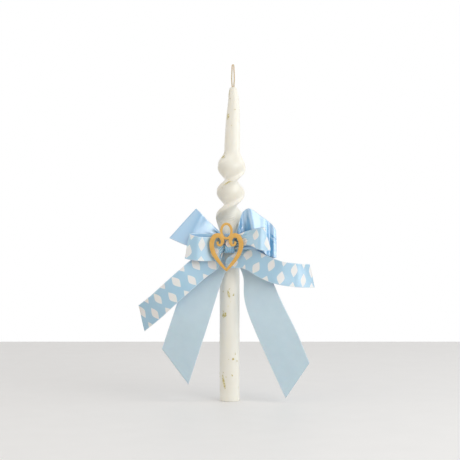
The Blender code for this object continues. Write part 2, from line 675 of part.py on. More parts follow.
def make_scroll(finish):
    inner_width = SCROLL_WIDTH / 2 - SCROLL_STROKE / 2
    inner_height = SCROLL_HEIGHT / 2 - SCROLL_STROKE / 2
    widest = max(x for x, _ in SCROLL_HALF)
    values = [np.array((x * inner_width / widest, z * inner_height)) for x, z in SCROLL_HALF]
    stops = list(range(len(values)))
    steps = HALF_SCROLL_CELLS
    half = [through(stops, values, stops[-1] * i / steps) for i in range(steps + 1)]
    whole = [point * (-1, 1) for point in reversed(half)] + half[1:]
    widths = []
    for i in range(-steps, steps + 1):
        share = abs(i) / steps
        swell = sin(pi * min(share * 1.25, 1))
        widths.append(SCROLL_END + (SCROLL_STROKE - SCROLL_END) * swell)
    scroll = slab("gilt_scroll", stroke(whole, widths, SCROLL_THICKNESS), SCROLL_THICKNESS, finish)
    turns = [tau * i / RING_SIDES for i in range(RING_SIDES)]
    half_height = RING_HALF_HEIGHT * SCROLL_HEIGHT / 2
    half_width = RING_HALF_WIDTH * SCROLL_WIDTH / 2
    middle = RING_MIDDLE * SCROLL_HEIGHT / 2
    ring_path = [(half_width * sin(a), middle - half_height * cos(a)) for a in turns]
    sheet = stroke(ring_path, [RING_STROKE] * len(turns), SCROLL_THICKNESS, closed=True)
    ring = slab("scroll_ring", sheet, SCROLL_THICKNESS - 2 * RING_RECESS, finish, closed=True)
    ring.hide_render = True
    ring.display_type = "WIRE"
    union = scroll.modifiers.new("ring", "BOOLEAN")
    union.operation = "UNION"
    union.solver = "EXACT"
    union.object = ring
    return scroll


clear_scene()
wax = material("ivory_wax", (0.87, 0.83, 0.72), 0.45)
cotton = material("waxed_cotton", (0.78, 0.7, 0.55), 0.8)
leaf = material("gold_leaf", (0.6, 0.42, 0.12), 0.35, 1.0)
satin_blue = material("satin_ribbon", (0.36, 0.62, 0.82), 0.35)
print_blue = material("printed_ribbon", (0.42, 0.65, 0.8), 0.6)
white_thread = material("white_thread", (0.85, 0.85, 0.85), 0.7)
glue = material("clear_glue", (0.8, 0.78, 0.7), 0.3)
gilt = material("gilt_sheet", (0.63, 0.36, 0.07), 0.35, 0.8)

make_wax(wax)
make_wick(cotton)
for leaf_values in LEAVES:
    make_leaf(*leaf_values, leaf)
make_band(satin_blue)
make_glue("bow_glue_pad", GLUE_BACK, GLUE_THICKNESS, glue)
make_thread(white_thread)
make_ribbons(satin_blue, print_blue)
make_wrap(print_blue)
make_glue("scroll_glue_pad", SCROLL_GLUE_BACK, SCROLL_GLUE_THICKNESS, glue)
make_scroll(gilt)
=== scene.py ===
from math import cos, exp, pi, radians, sin, sqrt, tau

import bpy
import numpy as np
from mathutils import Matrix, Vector, noise


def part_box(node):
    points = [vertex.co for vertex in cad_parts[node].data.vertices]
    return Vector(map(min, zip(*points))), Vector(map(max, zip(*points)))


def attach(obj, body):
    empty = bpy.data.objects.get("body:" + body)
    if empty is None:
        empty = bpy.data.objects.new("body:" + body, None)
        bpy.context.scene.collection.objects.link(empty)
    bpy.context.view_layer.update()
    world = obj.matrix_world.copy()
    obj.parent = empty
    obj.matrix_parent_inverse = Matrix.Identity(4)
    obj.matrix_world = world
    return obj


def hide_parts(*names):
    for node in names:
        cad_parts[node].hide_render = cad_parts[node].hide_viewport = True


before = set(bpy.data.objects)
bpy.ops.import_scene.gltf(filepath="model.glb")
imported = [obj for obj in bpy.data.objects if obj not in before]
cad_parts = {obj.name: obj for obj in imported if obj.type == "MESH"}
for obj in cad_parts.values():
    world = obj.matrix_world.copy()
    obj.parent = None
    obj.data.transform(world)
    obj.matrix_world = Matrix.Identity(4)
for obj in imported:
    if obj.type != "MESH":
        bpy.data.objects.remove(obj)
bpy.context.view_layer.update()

# Wax taper
# Paraffin wax cast round the wick. Above the plain shaft it was pressed flat while warm and twisted
# right-handed, and the top was drawn out to a taper. It stands free on its cut base.

MM = 0.001
SHAFT_RADIUS = 11 * MM
SHAFT_LENGTH = 184 * MM
TWIST_LENGTH = 91 * MM
TWIST_TOP = SHAFT_LENGTH + TWIST_LENGTH
TAPER_LENGTH = 69.5 * MM
WAX_TOP = TWIST_TOP + TAPER_LENGTH
BLADE_WIDTH = 30.6 * MM
BLADE_THICKNESS = 14.2 * MM
BLADE_FADE = 15 * MM  # height in which the section goes from round to flat
BLADE_FULLNESS = 3  # exponent of the flat section's outline, where 2 is an ellipse
HALF_TURN = 27.5 * MM  # height in which it turns half round, which makes one bulge
TURN_RAMP = 14 * MM  # height in which the twist comes to its full pitch, and in which it ends
FIRST_FRONT = 17.3 * MM  # above the shaft, where the blade first shows its broad side to the front
TAPER_RADIUS = 8.65 * MM
SECTION_TILT = 0.08  # slope by which the pressed sections fall to the right
BASE_ROUNDING = 0.8 * MM
# share of the taper's length, share of its lowest radius
TAPER_OUTLINE = [(0, 1), (0.17, 0.985), (0.49, 0.89), (0.8, 0.71), (0.935, 0.54), (0.985, 0.44), (1, 0.35)]
# share of the height above the shaft, millimetres that the candle leans to the right
LEAN = [(0, 0), (0.29, 1.2), (0.45, 2.2), (0.57, 2.8), (0.78, 3.7), (0.92, 4.5), (1, 3.7)]
# share of the top's radius, millimetres below its rim
TOP_DISH = [(0.92, 0.03), (0.75, 0.12), (0.5, 0.1), (0.3, -0.35)]
WAX_SIDES = 96
SHAFT_ROWS, TWIST_ROWS, TAPER_ROWS = 45, 140, 60
HAND_UNEVENNESS = 0.12 * MM  # how far hands left the surface off true
BROAD_SWELL, FINE_SWELL = 22.222 * MM, 6.25 * MM  # sizes of that unevenness
EVEN_BASE, EVEN_TOP = 6 * MM, 4 * MM  # lengths at the ends in which it dies out
WAX_CLOUD = 16.667 * MM  # size of the slow changes of colour
WAX_GRAIN = 1.4286 * MM  # size of the fine changes of gloss
RIPPLE_SPACING = 1.8 * MM  # fine ripples that the start of the twist left in the lowest bulge
RIPPLE_HEIGHT = 0.12 * MM
RIPPLE_CENTRE = (-3 * MM, -12 * MM, SHAFT_LENGTH)
RIPPLE_START = (8 * MM, 11 * MM)  # distances from their centre between which they set in
RIPPLE_END = (19 * MM, 24 * MM)  # and between which they die out


def linear(code):
    """The linear colour of an sRGB hex value."""
    parts = [int(code[i : i + 2], 16) / 255 for i in (0, 2, 4)]
    return (*[c / 12.92 if c <= 0.04045 else ((c + 0.055) / 1.055) ** 2.4 for c in parts], 1)


def add(tree, kind, inputs, **settings):
    """A node with its settings. Each input is a value, or the output that is linked to it."""
    node = tree.nodes.new(kind)
    for name, value in settings.items():
        setattr(node, name, value)
    for socket, value in inputs.items():
        if isinstance(value, bpy.types.NodeSocket):
            tree.links.new(value, node.inputs[socket])
        else:
            node.inputs[socket].default_value = value
    return node


def finish(name, constants):
    """A material, its node tree and its shader, with the values that are the same all over the surface."""
    made = bpy.data.materials.new(name)
    made.use_nodes = True
    shader = made.node_tree.nodes["Principled BSDF"]
    for socket, value in constants.items():
        shader.inputs[socket].default_value = value
    return made, made.node_tree, shader


# Paraffin wax: light goes a few millimetres into it. The last dip left a thin clear skin with a soft gloss.
ivory_wax, tree, shader = finish("paraffin_wax", {
    "IOR": 1.44, "Coat Weight": 0.5, "Coat Roughness": 0.28,
    "Subsurface Weight": 0.25, "Subsurface Radius": (1, 0.9, 0.7), "Subsurface Scale": 3 * MM,
})
place = add(tree, "ShaderNodeTexCoord", {}).outputs["Object"]
clouds = add(tree, "ShaderNodeTexNoise", {
    "Vector": place, "Scale": 1 / WAX_CLOUD, "Detail": 3,
}).outputs["Fac"]
tint = add(tree, "ShaderNodeMix", {
    "Factor": clouds, "A": linear("E6E1D4"), "B": linear("ECE9DE"),
}, data_type="RGBA")
tree.links.new(tint.outputs["Result"], shader.inputs["Base Color"])
grain = add(tree, "ShaderNodeTexNoise", {
    "Vector": place, "Scale": 1 / WAX_GRAIN, "Detail": 4,
}).outputs["Fac"]
gloss = add(tree, "ShaderNodeMapRange", {"Value": grain, "To Min": 0.34, "To Max": 0.5}).outputs["Result"]
tree.links.new(gloss, shader.inputs["Roughness"])
bump = add(tree, "ShaderNodeBump", {"Height": grain, "Strength": 0.12, "Distance": 0.1 * MM})
away = add(tree, "ShaderNodeVectorMath", {0: place, 1: RIPPLE_CENTRE}, operation="DISTANCE").outputs["Value"]
ripples = add(tree, "ShaderNodeMath", {0: away, 1: tau / RIPPLE_SPACING}, operation="MULTIPLY")
ripples = add(tree, "ShaderNodeMath", {0: ripples.outputs[0]}, operation="SINE").outputs[0]
begins = add(tree, "ShaderNodeMapRange", {
    "Value": away, "From Min": RIPPLE_START[0], "From Max": RIPPLE_START[1],
}).outputs["Result"]
ends = add(tree, "ShaderNodeMapRange", {
    "Value": away, "From Min": RIPPLE_END[0], "From Max": RIPPLE_END[1], "To Min": 1, "To Max": 0,
}).outputs["Result"]
ripples = add(tree, "ShaderNodeMath", {0: ripples, 1: begins}, operation="MULTIPLY").outputs[0]
ripples = add(tree, "ShaderNodeMath", {0: ripples, 1: ends}, operation="MULTIPLY").outputs[0]
bump = add(tree, "ShaderNodeBump", {
    "Height": ripples, "Strength": 0.8, "Distance": RIPPLE_HEIGHT, "Normal": bump.outputs["Normal"],
})
tree.links.new(bump.outputs["Normal"], shader.inputs["Normal"])


def smoothstep(low, high, value):
    share = min(max((value - low) / (high - low), 0), 1)
    return share * share * (3 - 2 * share)


def through(stops, values, at):
    """The value at one place on a smooth curve through values, which stand at rising stops."""
    last = len(stops) - 1
    i = min(max(sum(stop <= at for stop in stops) - 1, 0), last - 1)

    def slope(k):
        low, high = max(k - 1, 0), min(k + 1, last)
        return (values[high] - values[low]) / (stops[high] - stops[low])

    span = stops[i + 1] - stops[i]
    t = min(max((at - stops[i]) / span, 0), 1)
    t2, t3 = t * t, t * t * t
    ends = values[i] * (2 * t3 - 3 * t2 + 1) + values[i + 1] * (3 * t2 - 2 * t3)
    return ends + (slope(i) * (t3 - 2 * t2 + t) + slope(i + 1) * (t3 - t2)) * span


def turned(z):
    """How far the twist has wound at a height, as a length that ramps in and out."""

    def wound(start):
        share = min(max((z - start) / TURN_RAMP, 0), 1)
        return TURN_RAMP * (share**3 - share**4 / 2) + max(z - start - TURN_RAMP, 0)

    return wound(SHAFT_LENGTH + TURN_RAMP / 2) - wound(TWIST_TOP - 1.5 * TURN_RAMP)


def twist(z):
    """The angle of the section at a height, which is 0 where its broad side faces the front."""
    return pi * (turned(z) - turned(SHAFT_LENGTH + FIRST_FRONT)) / HALF_TURN


def lean(z):
    """How far the middle of the section stands to the right at a height."""
    shares = [share for share, _ in LEAN]
    offsets = [offset * MM for _, offset in LEAN]
    return through(shares, offsets, (z - SHAFT_LENGTH) / (WAX_TOP - SHAFT_LENGTH))


def round_radius(z):
    """The radius at a height before the wax was pressed flat."""
    if z <= SHAFT_LENGTH:
        lift = min(max(z / BASE_ROUNDING, 0), 1)
        return SHAFT_RADIUS - BASE_ROUNDING * (1 - sqrt(1 - (1 - lift) ** 2))
    if z <= TWIST_TOP:
        return SHAFT_RADIUS + (TAPER_RADIUS - SHAFT_RADIUS) * (z - SHAFT_LENGTH) / TWIST_LENGTH
    shares = [share for share, _ in TAPER_OUTLINE]
    radii = [radius * TAPER_RADIUS for _, radius in TAPER_OUTLINE]
    return through(shares, radii, (z - TWIST_TOP) / TAPER_LENGTH)


def wax_point(z, angle, swell=0.0):
    """The point of the wax at a height and at an angle in its section, which turns with the twist."""
    pressed = smoothstep(SHAFT_LENGTH, SHAFT_LENGTH + BLADE_FADE, z)
    pressed *= 1 - smoothstep(TWIST_TOP - BLADE_FADE, TWIST_TOP, z)
    radius = round_radius(z)
    half_width = radius + (BLADE_WIDTH / 2 - radius) * pressed + swell
    half_depth = radius + (BLADE_THICKNESS / 2 - radius) * pressed + swell
    power = 2 / (2 + (BLADE_FULLNESS - 2) * pressed)
    x = half_width * abs(cos(angle)) ** power * (1 if cos(angle) > 0 else -1)
    y = half_depth * abs(sin(angle)) ** power * (1 if sin(angle) > 0 else -1)
    turn = twist(z)
    side, back = x * cos(turn) - y * sin(turn), x * sin(turn) + y * cos(turn)
    return Vector((lean(z) + side, back, z - SECTION_TILT * pressed * side))


def wax_at(z, bearing):
    """The point of the wax at a height and at an angle from +X."""
    return wax_point(z, bearing - twist(z))


def new_piece(name, points, faces, finishes, replaced=(), flat=None):
    """A smooth mesh piece on the candle's body. flat gives each point its place on the flat cloth."""
    mesh = bpy.data.meshes.new(name)
    mesh.from_pydata([tuple(point) for point in points], [], [tuple(face) for face in faces])
    for each in finishes:
        mesh.materials.append(each)
    if flat is not None:
        layer = mesh.uv_layers.new(name="flat_cloth")
        corners = [flat[loop.vertex_index] for loop in mesh.loops]
        layer.data.foreach_set("uv", np.asarray(corners, float).ravel())
    mesh.shade_smooth()
    made = bpy.data.objects.new(name, mesh)
    bpy.context.scene.collection.objects.link(made)
    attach(made, "root")
    if replaced:
        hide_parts(*replaced)
    return made


def ring_faces(rings, sides):
    """Faces between rings of points that lie one after another."""
    faces = []
    for ring in range(rings - 1):
        for i in range(sides):
            j = (i + 1) % sides
            low, high = ring * sides, (ring + 1) * sides
            faces.append((low + i, low + j, high + j, high + i))
    return faces


heights = [BASE_ROUNDING * share for share in (0, 0.03, 0.13, 0.3, 0.6, 1)]
heights += np.linspace(BASE_ROUNDING, SHAFT_LENGTH, SHAFT_ROWS + 1)[1:].tolist()
heights += np.linspace(SHAFT_LENGTH, TWIST_TOP, TWIST_ROWS + 1)[1:].tolist()
heights += np.linspace(TWIST_TOP, WAX_TOP, TAPER_ROWS + 1)[1:].tolist()
points = []
for z in heights:
    for i in range(WAX_SIDES):
        angle = tau * i / WAX_SIDES
        spot = wax_point(z, angle)
        off_true = noise.noise(spot / BROAD_SWELL) + 0.4 * noise.noise(spot / FINE_SWELL)
        free = smoothstep(0, EVEN_BASE, z) * (1 - smoothstep(WAX_TOP - EVEN_TOP, WAX_TOP, z))
        points.append(wax_point(z, angle, HAND_UNEVENNESS * off_true * free))
# The top is slightly dished round the wick, and the base is cut flat
middle = Vector((lean(WAX_TOP), 0, WAX_TOP))
rim = points[-WAX_SIDES:]
for share, drop in TOP_DISH:
    points += [middle + (spot - middle) * share - Vector((0, 0, drop * MM)) for spot in rim]
rings = len(heights) + len(TOP_DISH)
faces = ring_faces(rings, WAX_SIDES)
faces.append(tuple((rings - 1) * WAX_SIDES + i for i in range(WAX_SIDES)))
faces.append(tuple(reversed(range(WAX_SIDES))))
taper = new_piece("wax_taper", points, faces, [ivory_wax], ["wax_body"])
taper.data.set_sharp_from_angle(angle=radians(50))

# Wick
# Cotton yarns plaited flat and dipped in wax. It was doubled over for dipping, so its end stands up as a
# narrow loop.

STRAND_RADIUS = 0.7 * MM
STRAND_SPREAD = 0.85 * MM  # from the middle of the loop to each strand, where they enter the wax
LOOP_SPREAD = 1.4 * MM  # the same, where the loop is widest
LOOP_HEIGHT = 25.5 * MM  # of its tip above the wax
WICK_DEPTH = 3 * MM  # how far this piece goes down into the wax
YARN_RADIUS = 0.37 * MM
PLAIT_LENGTH = 3.4 * MM  # length in which a yarn crosses over and back
YARN_SWING = 0.38 * MM  # how far a yarn goes to each side
YARN_OVER = 0.22 * MM  # how far it rises over the others
YARNS = 3
YARN_SIDES = 8
WICK_STEPS = 260
FIBRE = 0.4 * MM  # real fibres are much finer, drawn coarser here so that they show

# Waxed cotton: matt and slightly fuzzy yarns, cream where the wax has filled them
waxed_cotton, tree, shader = finish("waxed_cotton_yarn", {
    "Roughness": 0.75, "Sheen Weight": 0.25, "Subsurface Weight": 0.15, "Subsurface Scale": 0.5 * MM,
})
place = add(tree, "ShaderNodeTexCoord", {}).outputs["Object"]
fibres = add(tree, "ShaderNodeTexNoise", {"Vector": place, "Scale": 1 / FIBRE, "Detail": 4}).outputs["Fac"]
tint = add(tree, "ShaderNodeMix", {
    "Factor": fibres, "A": linear("B99F74"), "B": linear("E6D9BD"),
}, data_type="RGBA")
tree.links.new(tint.outputs["Result"], shader.inputs["Base Color"])
bump = add(tree, "ShaderNodeBump", {"Height": fibres, "Strength": 0.5, "Distance": 0.1 * MM})
tree.links.new(bump.outputs["Normal"], shader.inputs["Normal"])


def tube_points(path, radius, sides):
    """Rings of points round a path, without twist."""
    path = np.asarray(path, float)
    along = np.gradient(path, axis=0)
    along /= np.linalg.norm(along, axis=1, keepdims=True)
    side = np.cross(along[0], (0, 1, 0.1))
    points = []
    for here, way in zip(path, along):
        side = side - way * np.dot(side, way)
        side /= np.linalg.norm(side)
        up = np.cross(way, side)
        for i in range(sides):
            angle = tau * i / sides
            points.append(here + radius * (cos(angle) * side + sin(angle) * up))
    return points


def tubes(paths, radius, sides):
    """Points and faces of closed tubes along several paths."""
    points, faces = [], []
    for path in paths:
        first = len(points)
        points += tube_points(path, radius, sides)
        faces += [tuple(first + k for k in face) for face in ring_faces(len(path), sides)]
        faces.append(tuple(first + k for k in reversed(range(sides))))
        faces.append(tuple(first + (len(path) - 1) * sides + k for k in range(sides)))
    return points, faces


rise = [
    (-WICK_DEPTH, -STRAND_SPREAD),
    (0, -STRAND_SPREAD),
    (LOOP_HEIGHT * 0.32, -LOOP_SPREAD),
    (LOOP_HEIGHT * 0.6, -LOOP_SPREAD * 0.9),
    (LOOP_HEIGHT * 0.85, -STRAND_SPREAD * 1.15),
]
tip_height = LOOP_HEIGHT - STRAND_RADIUS - STRAND_SPREAD
tip = [(tip_height + STRAND_SPREAD * sin(a), -STRAND_SPREAD * cos(a)) for a in np.linspace(0, pi, 7)]
stations = [np.array(spot) for spot in rise + tip + [(height, -side) for height, side in reversed(rise)]]
stops = [0.0]
for before, after in zip(stations, stations[1:]):
    stops.append(stops[-1] + float(np.linalg.norm(after - before)))
places = [stops[-1] * i / WICK_STEPS for i in range(WICK_STEPS + 1)]
loop_line = np.array([through(stops, stations, at) for at in places])
ways = np.gradient(loop_line, axis=0)
ways /= np.linalg.norm(ways, axis=1, keepdims=True)
yarns = []
for k in range(YARNS):
    yarn = []
    for at, (height, side), (up, out) in zip(places, loop_line, ways):
        phase = tau * (at / PLAIT_LENGTH + k / YARNS)
        over = YARN_OVER * sin(2 * phase)
        swing = YARN_SWING * sin(phase)
        x = lean(WAX_TOP) + side + up * swing
        yarn.append((x, over, WAX_TOP + height - out * swing))
    yarns.append(yarn)
points, faces = tubes(yarns, YARN_RADIUS, YARN_SIDES)
new_piece("wick_plait", points, faces, [waxed_cotton], ["wick"])

# Gold leaf
# Torn flakes of gold-coloured leaf, pressed on the warm wax and sealed with a thin dip. They cling to the
# surface, with ragged edges and fine creases, and small specks lie round them.

FLAKE_THICKNESS = 0.06 * MM
FLAKE_LIFT = 0.16 * MM  # clear of the wax's unevenness
FLAKE_CRUMPLE = 0.05 * MM
CRUMPLE_SIZE = 0.66667 * MM
LEAF_CREASE = 0.7143 * MM  # spacing of the creases
LEAF_MOTTLE = 1.6129 * MM  # size of the thin and thick places in the film of wax over it
# name, height, angle from +X, length round the candle, length up it, tilt (millimetres and degrees)
FLAKES = [
    ("gold_flake_1", TWIST_TOP + 0.906 * TAPER_LENGTH, -160, 1.8, 8.0, 0),
    ("gold_flake_2", TWIST_TOP + 0.547 * TAPER_LENGTH, -138, 3.0, 4.5, 20),
    ("gold_flake_3", SHAFT_LENGTH + 0.923 * TWIST_LENGTH, -145, 4.5, 2.8, 35),
    ("gold_flake_4", SHAFT_LENGTH + 0.604 * TWIST_LENGTH, -105, 9.0, 2.2, 32),
    ("gold_flake_5", SHAFT_LENGTH + 0.176 * TWIST_LENGTH, -168, 2.4, 3.6, 10),
    ("gold_flake_6", 0.641 * SHAFT_LENGTH, -95, 2.4, 8.0, 12),
    ("gold_flake_7", 0.516 * SHAFT_LENGTH, -122, 4.6, 6.5, -30),
    ("gold_flake_8", 0.255 * SHAFT_LENGTH, -70, 2.6, 2.6, 0),
    ("gold_flake_9", 0.114 * SHAFT_LENGTH, -125, 2.8, 15.0, 14),
]
SPECKS = 46
SPECK_SEED = 11
UNDER_BOW = (160 * MM, 190 * MM)  # heights that the bow and its band cover
LOWEST_SPECK, SPECKS_END = 4 * MM, 6 * MM  # from the base, and from the top of the wax

# Metal leaf under a film of wax: bright metal shows only where the film is thin, and the rest is veiled to a
# pale olive gold. It is finely creased.
gold_leaf, tree, shader = finish("gold_metal_leaf", {"Roughness": 0.42})
place = add(tree, "ShaderNodeTexCoord", {}).outputs["Object"]
creases = add(tree, "ShaderNodeTexVoronoi", {
    "Vector": place, "Scale": 1 / LEAF_CREASE,
}, feature="DISTANCE_TO_EDGE")
mottle = add(tree, "ShaderNodeTexNoise", {
    "Vector": place, "Scale": 1 / LEAF_MOTTLE, "Detail": 4,
}).outputs["Fac"]
veil = add(tree, "ShaderNodeMapRange", {"Value": mottle, "From Min": 0.42, "From Max": 0.6}).outputs["Result"]
tint = add(tree, "ShaderNodeMix", {
    "Factor": veil, "A": linear("C2B273"), "B": linear("E4DEBE"),
}, data_type="RGBA")
tree.links.new(tint.outputs["Result"], shader.inputs["Base Color"])
bare = add(tree, "ShaderNodeMapRange", {"Value": veil, "To Min": 0.3, "To Max": 0}).outputs["Result"]
tree.links.new(bare, shader.inputs["Metallic"])
bump = add(tree, "ShaderNodeBump", {
    "Height": creases.outputs["Distance"], "Strength": 0.6, "Distance": 0.15 * MM,
})
tree.links.new(bump.outputs["Normal"], shader.inputs["Normal"])


def torn_flake(height, bearing, around, up, tilt, seed, rings=4, sides=30):
    """Points and faces of one flake: a ragged patch, bent to the wax, with a top and an underside."""
    reach = (wax_at(height, bearing) - Vector((lean(height), 0, height))).length
    step = 0.2 * MM
    top, under = [], []
    for ring in range(rings + 1):
        for i in range(sides if ring else 1):
            angle = tau * i / sides
            ragged = 1 + 0.3 * noise.noise(Vector((2 * cos(angle), 2 * sin(angle), seed)))
            ragged += 0.2 * noise.noise(Vector((6 * cos(angle), 6 * sin(angle), seed + 5)))
            share = ring / rings * ragged
            s, h = around / 2 * share * cos(angle), up / 2 * share * sin(angle)
            s, h = s * cos(tilt) - h * sin(tilt), s * sin(tilt) + h * cos(tilt)
            z, local = height + h, bearing + s / reach
            here = wax_at(z, local)
            beside, above = wax_at(z, local + step / reach), wax_at(z + step, local)
            outward = (beside - here).cross(above - here).normalized()
            crumple = FLAKE_CRUMPLE * noise.noise(here / CRUMPLE_SIZE)
            top.append(here + outward * (FLAKE_LIFT + crumple + FLAKE_THICKNESS / 2))
            under.append(here + outward * (FLAKE_LIFT + crumple - FLAKE_THICKNESS / 2))
    faces = []
    for i in range(sides):
        j = (i + 1) % sides
        faces.append((0, 1 + i, 1 + j))
        for ring in range(rings - 1):
            low, high = 1 + ring * sides, 1 + (ring + 1) * sides
            faces.append((low + i, high + i, high + j, low + j))
    count = len(top)
    faces += [tuple(count + k for k in reversed(face)) for face in faces]
    edge = 1 + (rings - 1) * sides
    for i in range(sides):
        j = (i + 1) % sides
        faces.append((edge + i, count + edge + i, count + edge + j, edge + j))
    return top + under, faces


for number, (node_name, height, bearing, around, up, tilt) in enumerate(FLAKES):
    points, faces = torn_flake(height, radians(bearing), around * MM, up * MM, radians(tilt), number * 7.3)
    new_piece("leaf_" + node_name, points, faces, [gold_leaf], [node_name])

chance = np.random.RandomState(SPECK_SEED)
points, faces = [], []
for number in range(SPECKS):
    if number % 2:
        _, height, bearing, _, up, _ = FLAKES[number % len(FLAKES)]
        height += chance.uniform(-1.5, 1.5) * up * MM + chance.uniform(-3, 3) * MM
        bearing = radians(bearing) + chance.uniform(-0.5, 0.5)
    else:
        height = chance.uniform(6 * MM, WAX_TOP - 12 * MM)
        bearing = chance.uniform(-pi, pi)
    height = min(max(height, LOWEST_SPECK), WAX_TOP - SPECKS_END)
    wide = chance.uniform(0.5, 1.6) * MM
    tall = chance.uniform(0.6, 2.6) * MM
    tilt = chance.uniform(-0.8, 0.8)
    if UNDER_BOW[0] < height < UNDER_BOW[1]:
        continue
    more_points, more_faces = torn_flake(height, bearing, wide, tall, tilt, number * 3.1 + 60, 2, 12)
    faces += [tuple(len(points) + k for k in face) for face in more_faces]
    points += more_points
new_piece("leaf_specks", points, faces, [gold_leaf])

# Band behind the bow
# A strip of the plain satin ribbon, pulled tight round the shaft and glued where its ends lap at the back.
# The bow is glued to its front.

FIT = 0.3 * MM
RIBBON_THICKNESS = 0.3 * MM
BAND_WIDTH = 16 * MM
BAND_DROP = 2 * MM  # from the top of the shaft to the band
KNOT_HEIGHT = SHAFT_LENGTH - BAND_DROP - BAND_WIDTH / 2
BAND_RADIUS = SHAFT_RADIUS + 0.5 * MM
BAND_RIPPLE = 0.35 * MM
BAND_LAP = radians(22)
BAND_LAP_LIFT = 0.45 * MM
BAND_LAP_RISE = (-0.12, 0.05)  # radians past one whole turn between which its end climbs on its start
CLOTH_CLOUD = 11.111 * MM  # size of the slow changes of colour and gloss in ribbon
SATIN_RIB = 0.9 * MM  # real satin threads are about 0.1 mm apart, drawn coarser here so that they show
SATIN_WIDTH = 38 * MM
PRINT_WIDTH = 25 * MM
SELVEDGE = 0.8 * MM  # width of the woven edge


def satin_finish(name, width, dark, light, dull, gleam, printed=None):
    """Polyester satin of one width: long threads lie along the ribbon, so its sheen is a broad band across
    it, and its woven edges are denser and paler, a paleness that also paints the thin highlight that runs
    along each edge. dull is its lowest roughness, gleam the IOR that gives its threads their shine, and
    printed the colour of lozenges put on it with opaque ink."""
    made, tree, shader = finish(name, {
        "IOR": gleam, "Anisotropic": 0.75, "Sheen Weight": 0.15, "Sheen Roughness": 0.4,
        "Subsurface Weight": 0.1, "Subsurface Scale": 1 * MM,
    })
    flat = add(tree, "ShaderNodeUVMap", {}, uv_map="flat_cloth").outputs["UV"]
    ways = add(tree, "ShaderNodeSeparateXYZ", {"Vector": flat})
    across, along = ways.outputs["X"], ways.outputs["Y"]
    tangent = add(tree, "ShaderNodeTangent", {}, direction_type="UV_MAP", uv_map="flat_cloth")
    tree.links.new(tangent.outputs["Tangent"], shader.inputs["Tangent"])
    threads = add(tree, "ShaderNodeMath", {0: along, 1: tau / SATIN_RIB}, operation="MULTIPLY")
    threads = add(tree, "ShaderNodeMath", {0: threads.outputs[0]}, operation="SINE").outputs[0]
    clouds = add(tree, "ShaderNodeTexNoise", {
        "Vector": flat, "Scale": 1 / CLOTH_CLOUD, "Detail": 2,
    }).outputs["Fac"]
    tint = add(tree, "ShaderNodeMix", {
        "Factor": clouds, "A": linear(dark), "B": linear(light),
    }, data_type="RGBA").outputs["Result"]
    dullness = add(tree, "ShaderNodeMapRange", {
        "Value": clouds, "To Min": dull, "To Max": dull + 0.1,
    }).outputs["Result"]
    if printed:
        ink = lozenges(tree, across, along)
        tint = add(tree, "ShaderNodeMix", {
            "Factor": ink, "A": tint, "B": linear(printed),
        }, data_type="RGBA").outputs["Result"]
        dullness = add(tree, "ShaderNodeMix", {"Factor": ink, "A": dullness, "B": 0.6}).outputs["Result"]
    outward = add(tree, "ShaderNodeMath", {0: across, 1: width / 2}, operation="SUBTRACT").outputs[0]
    outward = add(tree, "ShaderNodeMath", {0: outward}, operation="ABSOLUTE").outputs[0]
    edge = add(tree, "ShaderNodeMapRange", {
        "Value": outward, "From Min": width / 2 - SELVEDGE, "From Max": width / 2 - SELVEDGE * 0.6,
    }).outputs["Result"]
    # The paler woven edge is partly painted highlight: it also stands for the thin bright line that light
    # draws along each edge
    paler_edge_and_painted_highlight = add(tree, "ShaderNodeMath", {0: edge, 1: 0.35}, operation="MULTIPLY").outputs[0]
    tint = add(tree, "ShaderNodeMix", {"Factor": paler_edge_and_painted_highlight, "A": tint, "B": linear("EAF3F8")}, data_type="RGBA")
    tree.links.new(tint.outputs["Result"], shader.inputs["Base Color"])
    tree.links.new(dullness, shader.inputs["Roughness"])
    height = add(tree, "ShaderNodeMath", {0: threads, 1: edge}, operation="ADD").outputs[0]
    if printed:
        weft = add(tree, "ShaderNodeMath", {0: across, 1: tau / SATIN_RIB}, operation="MULTIPLY").outputs[0]
        weft = add(tree, "ShaderNodeMath", {0: weft}, operation="SINE").outputs[0]
        height = add(tree, "ShaderNodeMath", {0: height, 1: weft}, operation="ADD").outputs[0]
    bump = add(tree, "ShaderNodeBump", {"Height": height, "Strength": 0.15, "Distance": 0.05 * MM})
    tree.links.new(bump.outputs["Normal"], shader.inputs["Normal"])
    return made


# Bright side of the plain satin: its floating threads give a clear blue with strong, broad highlights
satin_ribbon = satin_finish("polyester_satin", SATIN_WIDTH, "489AC9", "54A6D4", 0.3, 3.6)


def grid_faces(rows, columns):
    """Faces of a grid of points, one row after another."""
    faces = []
    for i in range(rows - 1):
        for j in range(columns - 1):
            low, high = i * columns, (i + 1) * columns
            faces.append((low + j, high + j, high + j + 1, low + j + 1))
    return faces


def cloth_piece(name, sheet, flat, finishes, replaced):
    """A sheet of ribbon, given as rows of points, and made solid."""
    rows, columns = len(sheet), len(sheet[0])
    points = [point for row in sheet for point in row]
    places = [place for row in flat for place in row]
    made = new_piece(name, points, grid_faces(rows, columns), finishes, replaced, places)
    solid = made.modifiers.new("thickness", "SOLIDIFY")
    solid.thickness = RIBBON_THICKNESS
    solid.offset = 0
    solid.use_even_offset = False
    if len(finishes) > 1:
        solid.material_offset = 1
    return made


